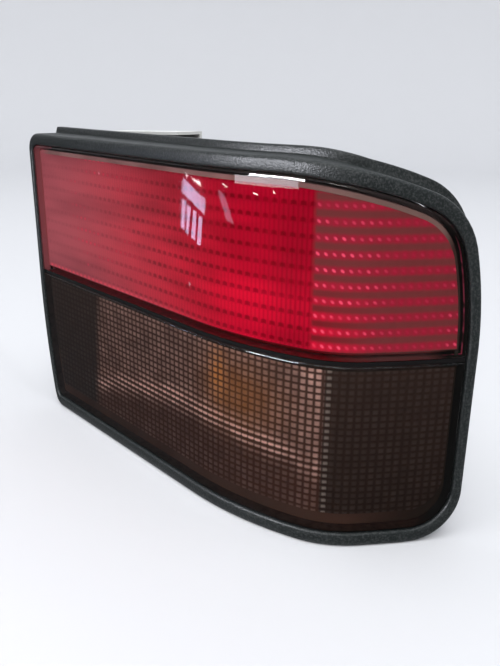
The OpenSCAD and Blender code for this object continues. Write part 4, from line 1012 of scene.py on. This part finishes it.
def window_light(name, panes, strength, colour=DAYLIGHT):
    """Bright panes that only show as gloss; each pane is four corners in s and z on the lens face."""
    steps = 8
    share = np.linspace(0, 1, steps + 1)
    corners, faces = [], []
    for pane in panes:
        a, b, c, d = np.array(pane, float)
        start = len(corners)
        for u in share:
            for v in share:
                at = (1 - v) * ((1 - u) * a + u * b) + v * ((1 - u) * d + u * c)
                corners.append(mirrored(*at, PANE_REACH))
        for i in range(steps):
            low = start + i * (steps + 1)
            high = low + steps + 1
            faces += [(low + j, high + j, high + j + 1, low + j + 1) for j in range(steps)]
    gloss_only(stage_piece(name, corners, faces, colour, strength))


def upright_pane(left, top, wide, tall, lean):
    right, foot = left + wide, top - tall
    return [(left, top), (right, top - 0.45 * wide), (right - lean, foot - 0.2 * wide), (left - lean, foot)]


def level_pane(left, right, foot, top):
    return [(left, foot), (left, top), (right, top), (right, foot)]


# Tall window: a slanting pane above four upright ones; two by the bend, a narrow far one and small lamps
panes = [upright_pane(154.6 + 4.1 * i, 150.2 - 2.1 * i, 2.6, 14.0, 1.6) for i in range(4)]
panes.append([(154.8, 153.0), (155.6, 160.0), (171.6, 151.4), (171.0, 144.4)])
window_light("window_panes", panes, 13.0, SKY)
window_light("window_wide", [level_pane(190.0, 222.0, 160.4, 167.0)], 11.0)
window_light("window_high", [level_pane(198.0, 226.0, 168.0, 215.0)], 110.0)
window_light("window_far", [[(179.4, 157.2), (184.0, 154.6), (189.6, 142.4), (185.0, 143.6)]], 4.2, SKY)
small_lamps = [upright_pane(*lamp, 0.9, 0.0) for lamp in
               ((157.5, 162.2, 11.0), (183.0, 159.8, 2.6), (200.0, 157.8, 3.4), (210.0, 158.8, 1.6))]
window_light("small_lamps", small_lamps, 36.0)

# Dark mat before the lens with a low upright edge, seen only as gloss: the pale floor would veil the lens
MAT_REACH, MAT_EDGE = 1.3, 0.25
stations = np.array([-3.0] * 4 + [160.0, 175.0, 190.0, 205.0, 220.0, 232.0, 244.0, 256.0, 280.0] + [306.0] * 3)
toward = plan(stations)[0] + np.radians([-100.0, -65.0, -30.0] + [0.0] * 11 + [25.0, 50.0])
near_mat = on_face(stations, 0.4 - BASE_Z, -3.0)
far_mat = near_mat + MAT_REACH * np.stack([np.sin(toward), -np.cos(toward), 0 * toward], -1)
mat_points = np.concatenate([near_mat, far_mat, far_mat + [0, 0, MAT_EDGE]])
count = len(stations)
mat_faces = [(row + i, row + i + 1, row + count + i + 1, row + count + i)
             for row in (0, count) for i in range(count - 1)]
gloss_only(stage_piece("dark_mat", mat_points, mat_faces, (0.03, 0.03, 0.032)))
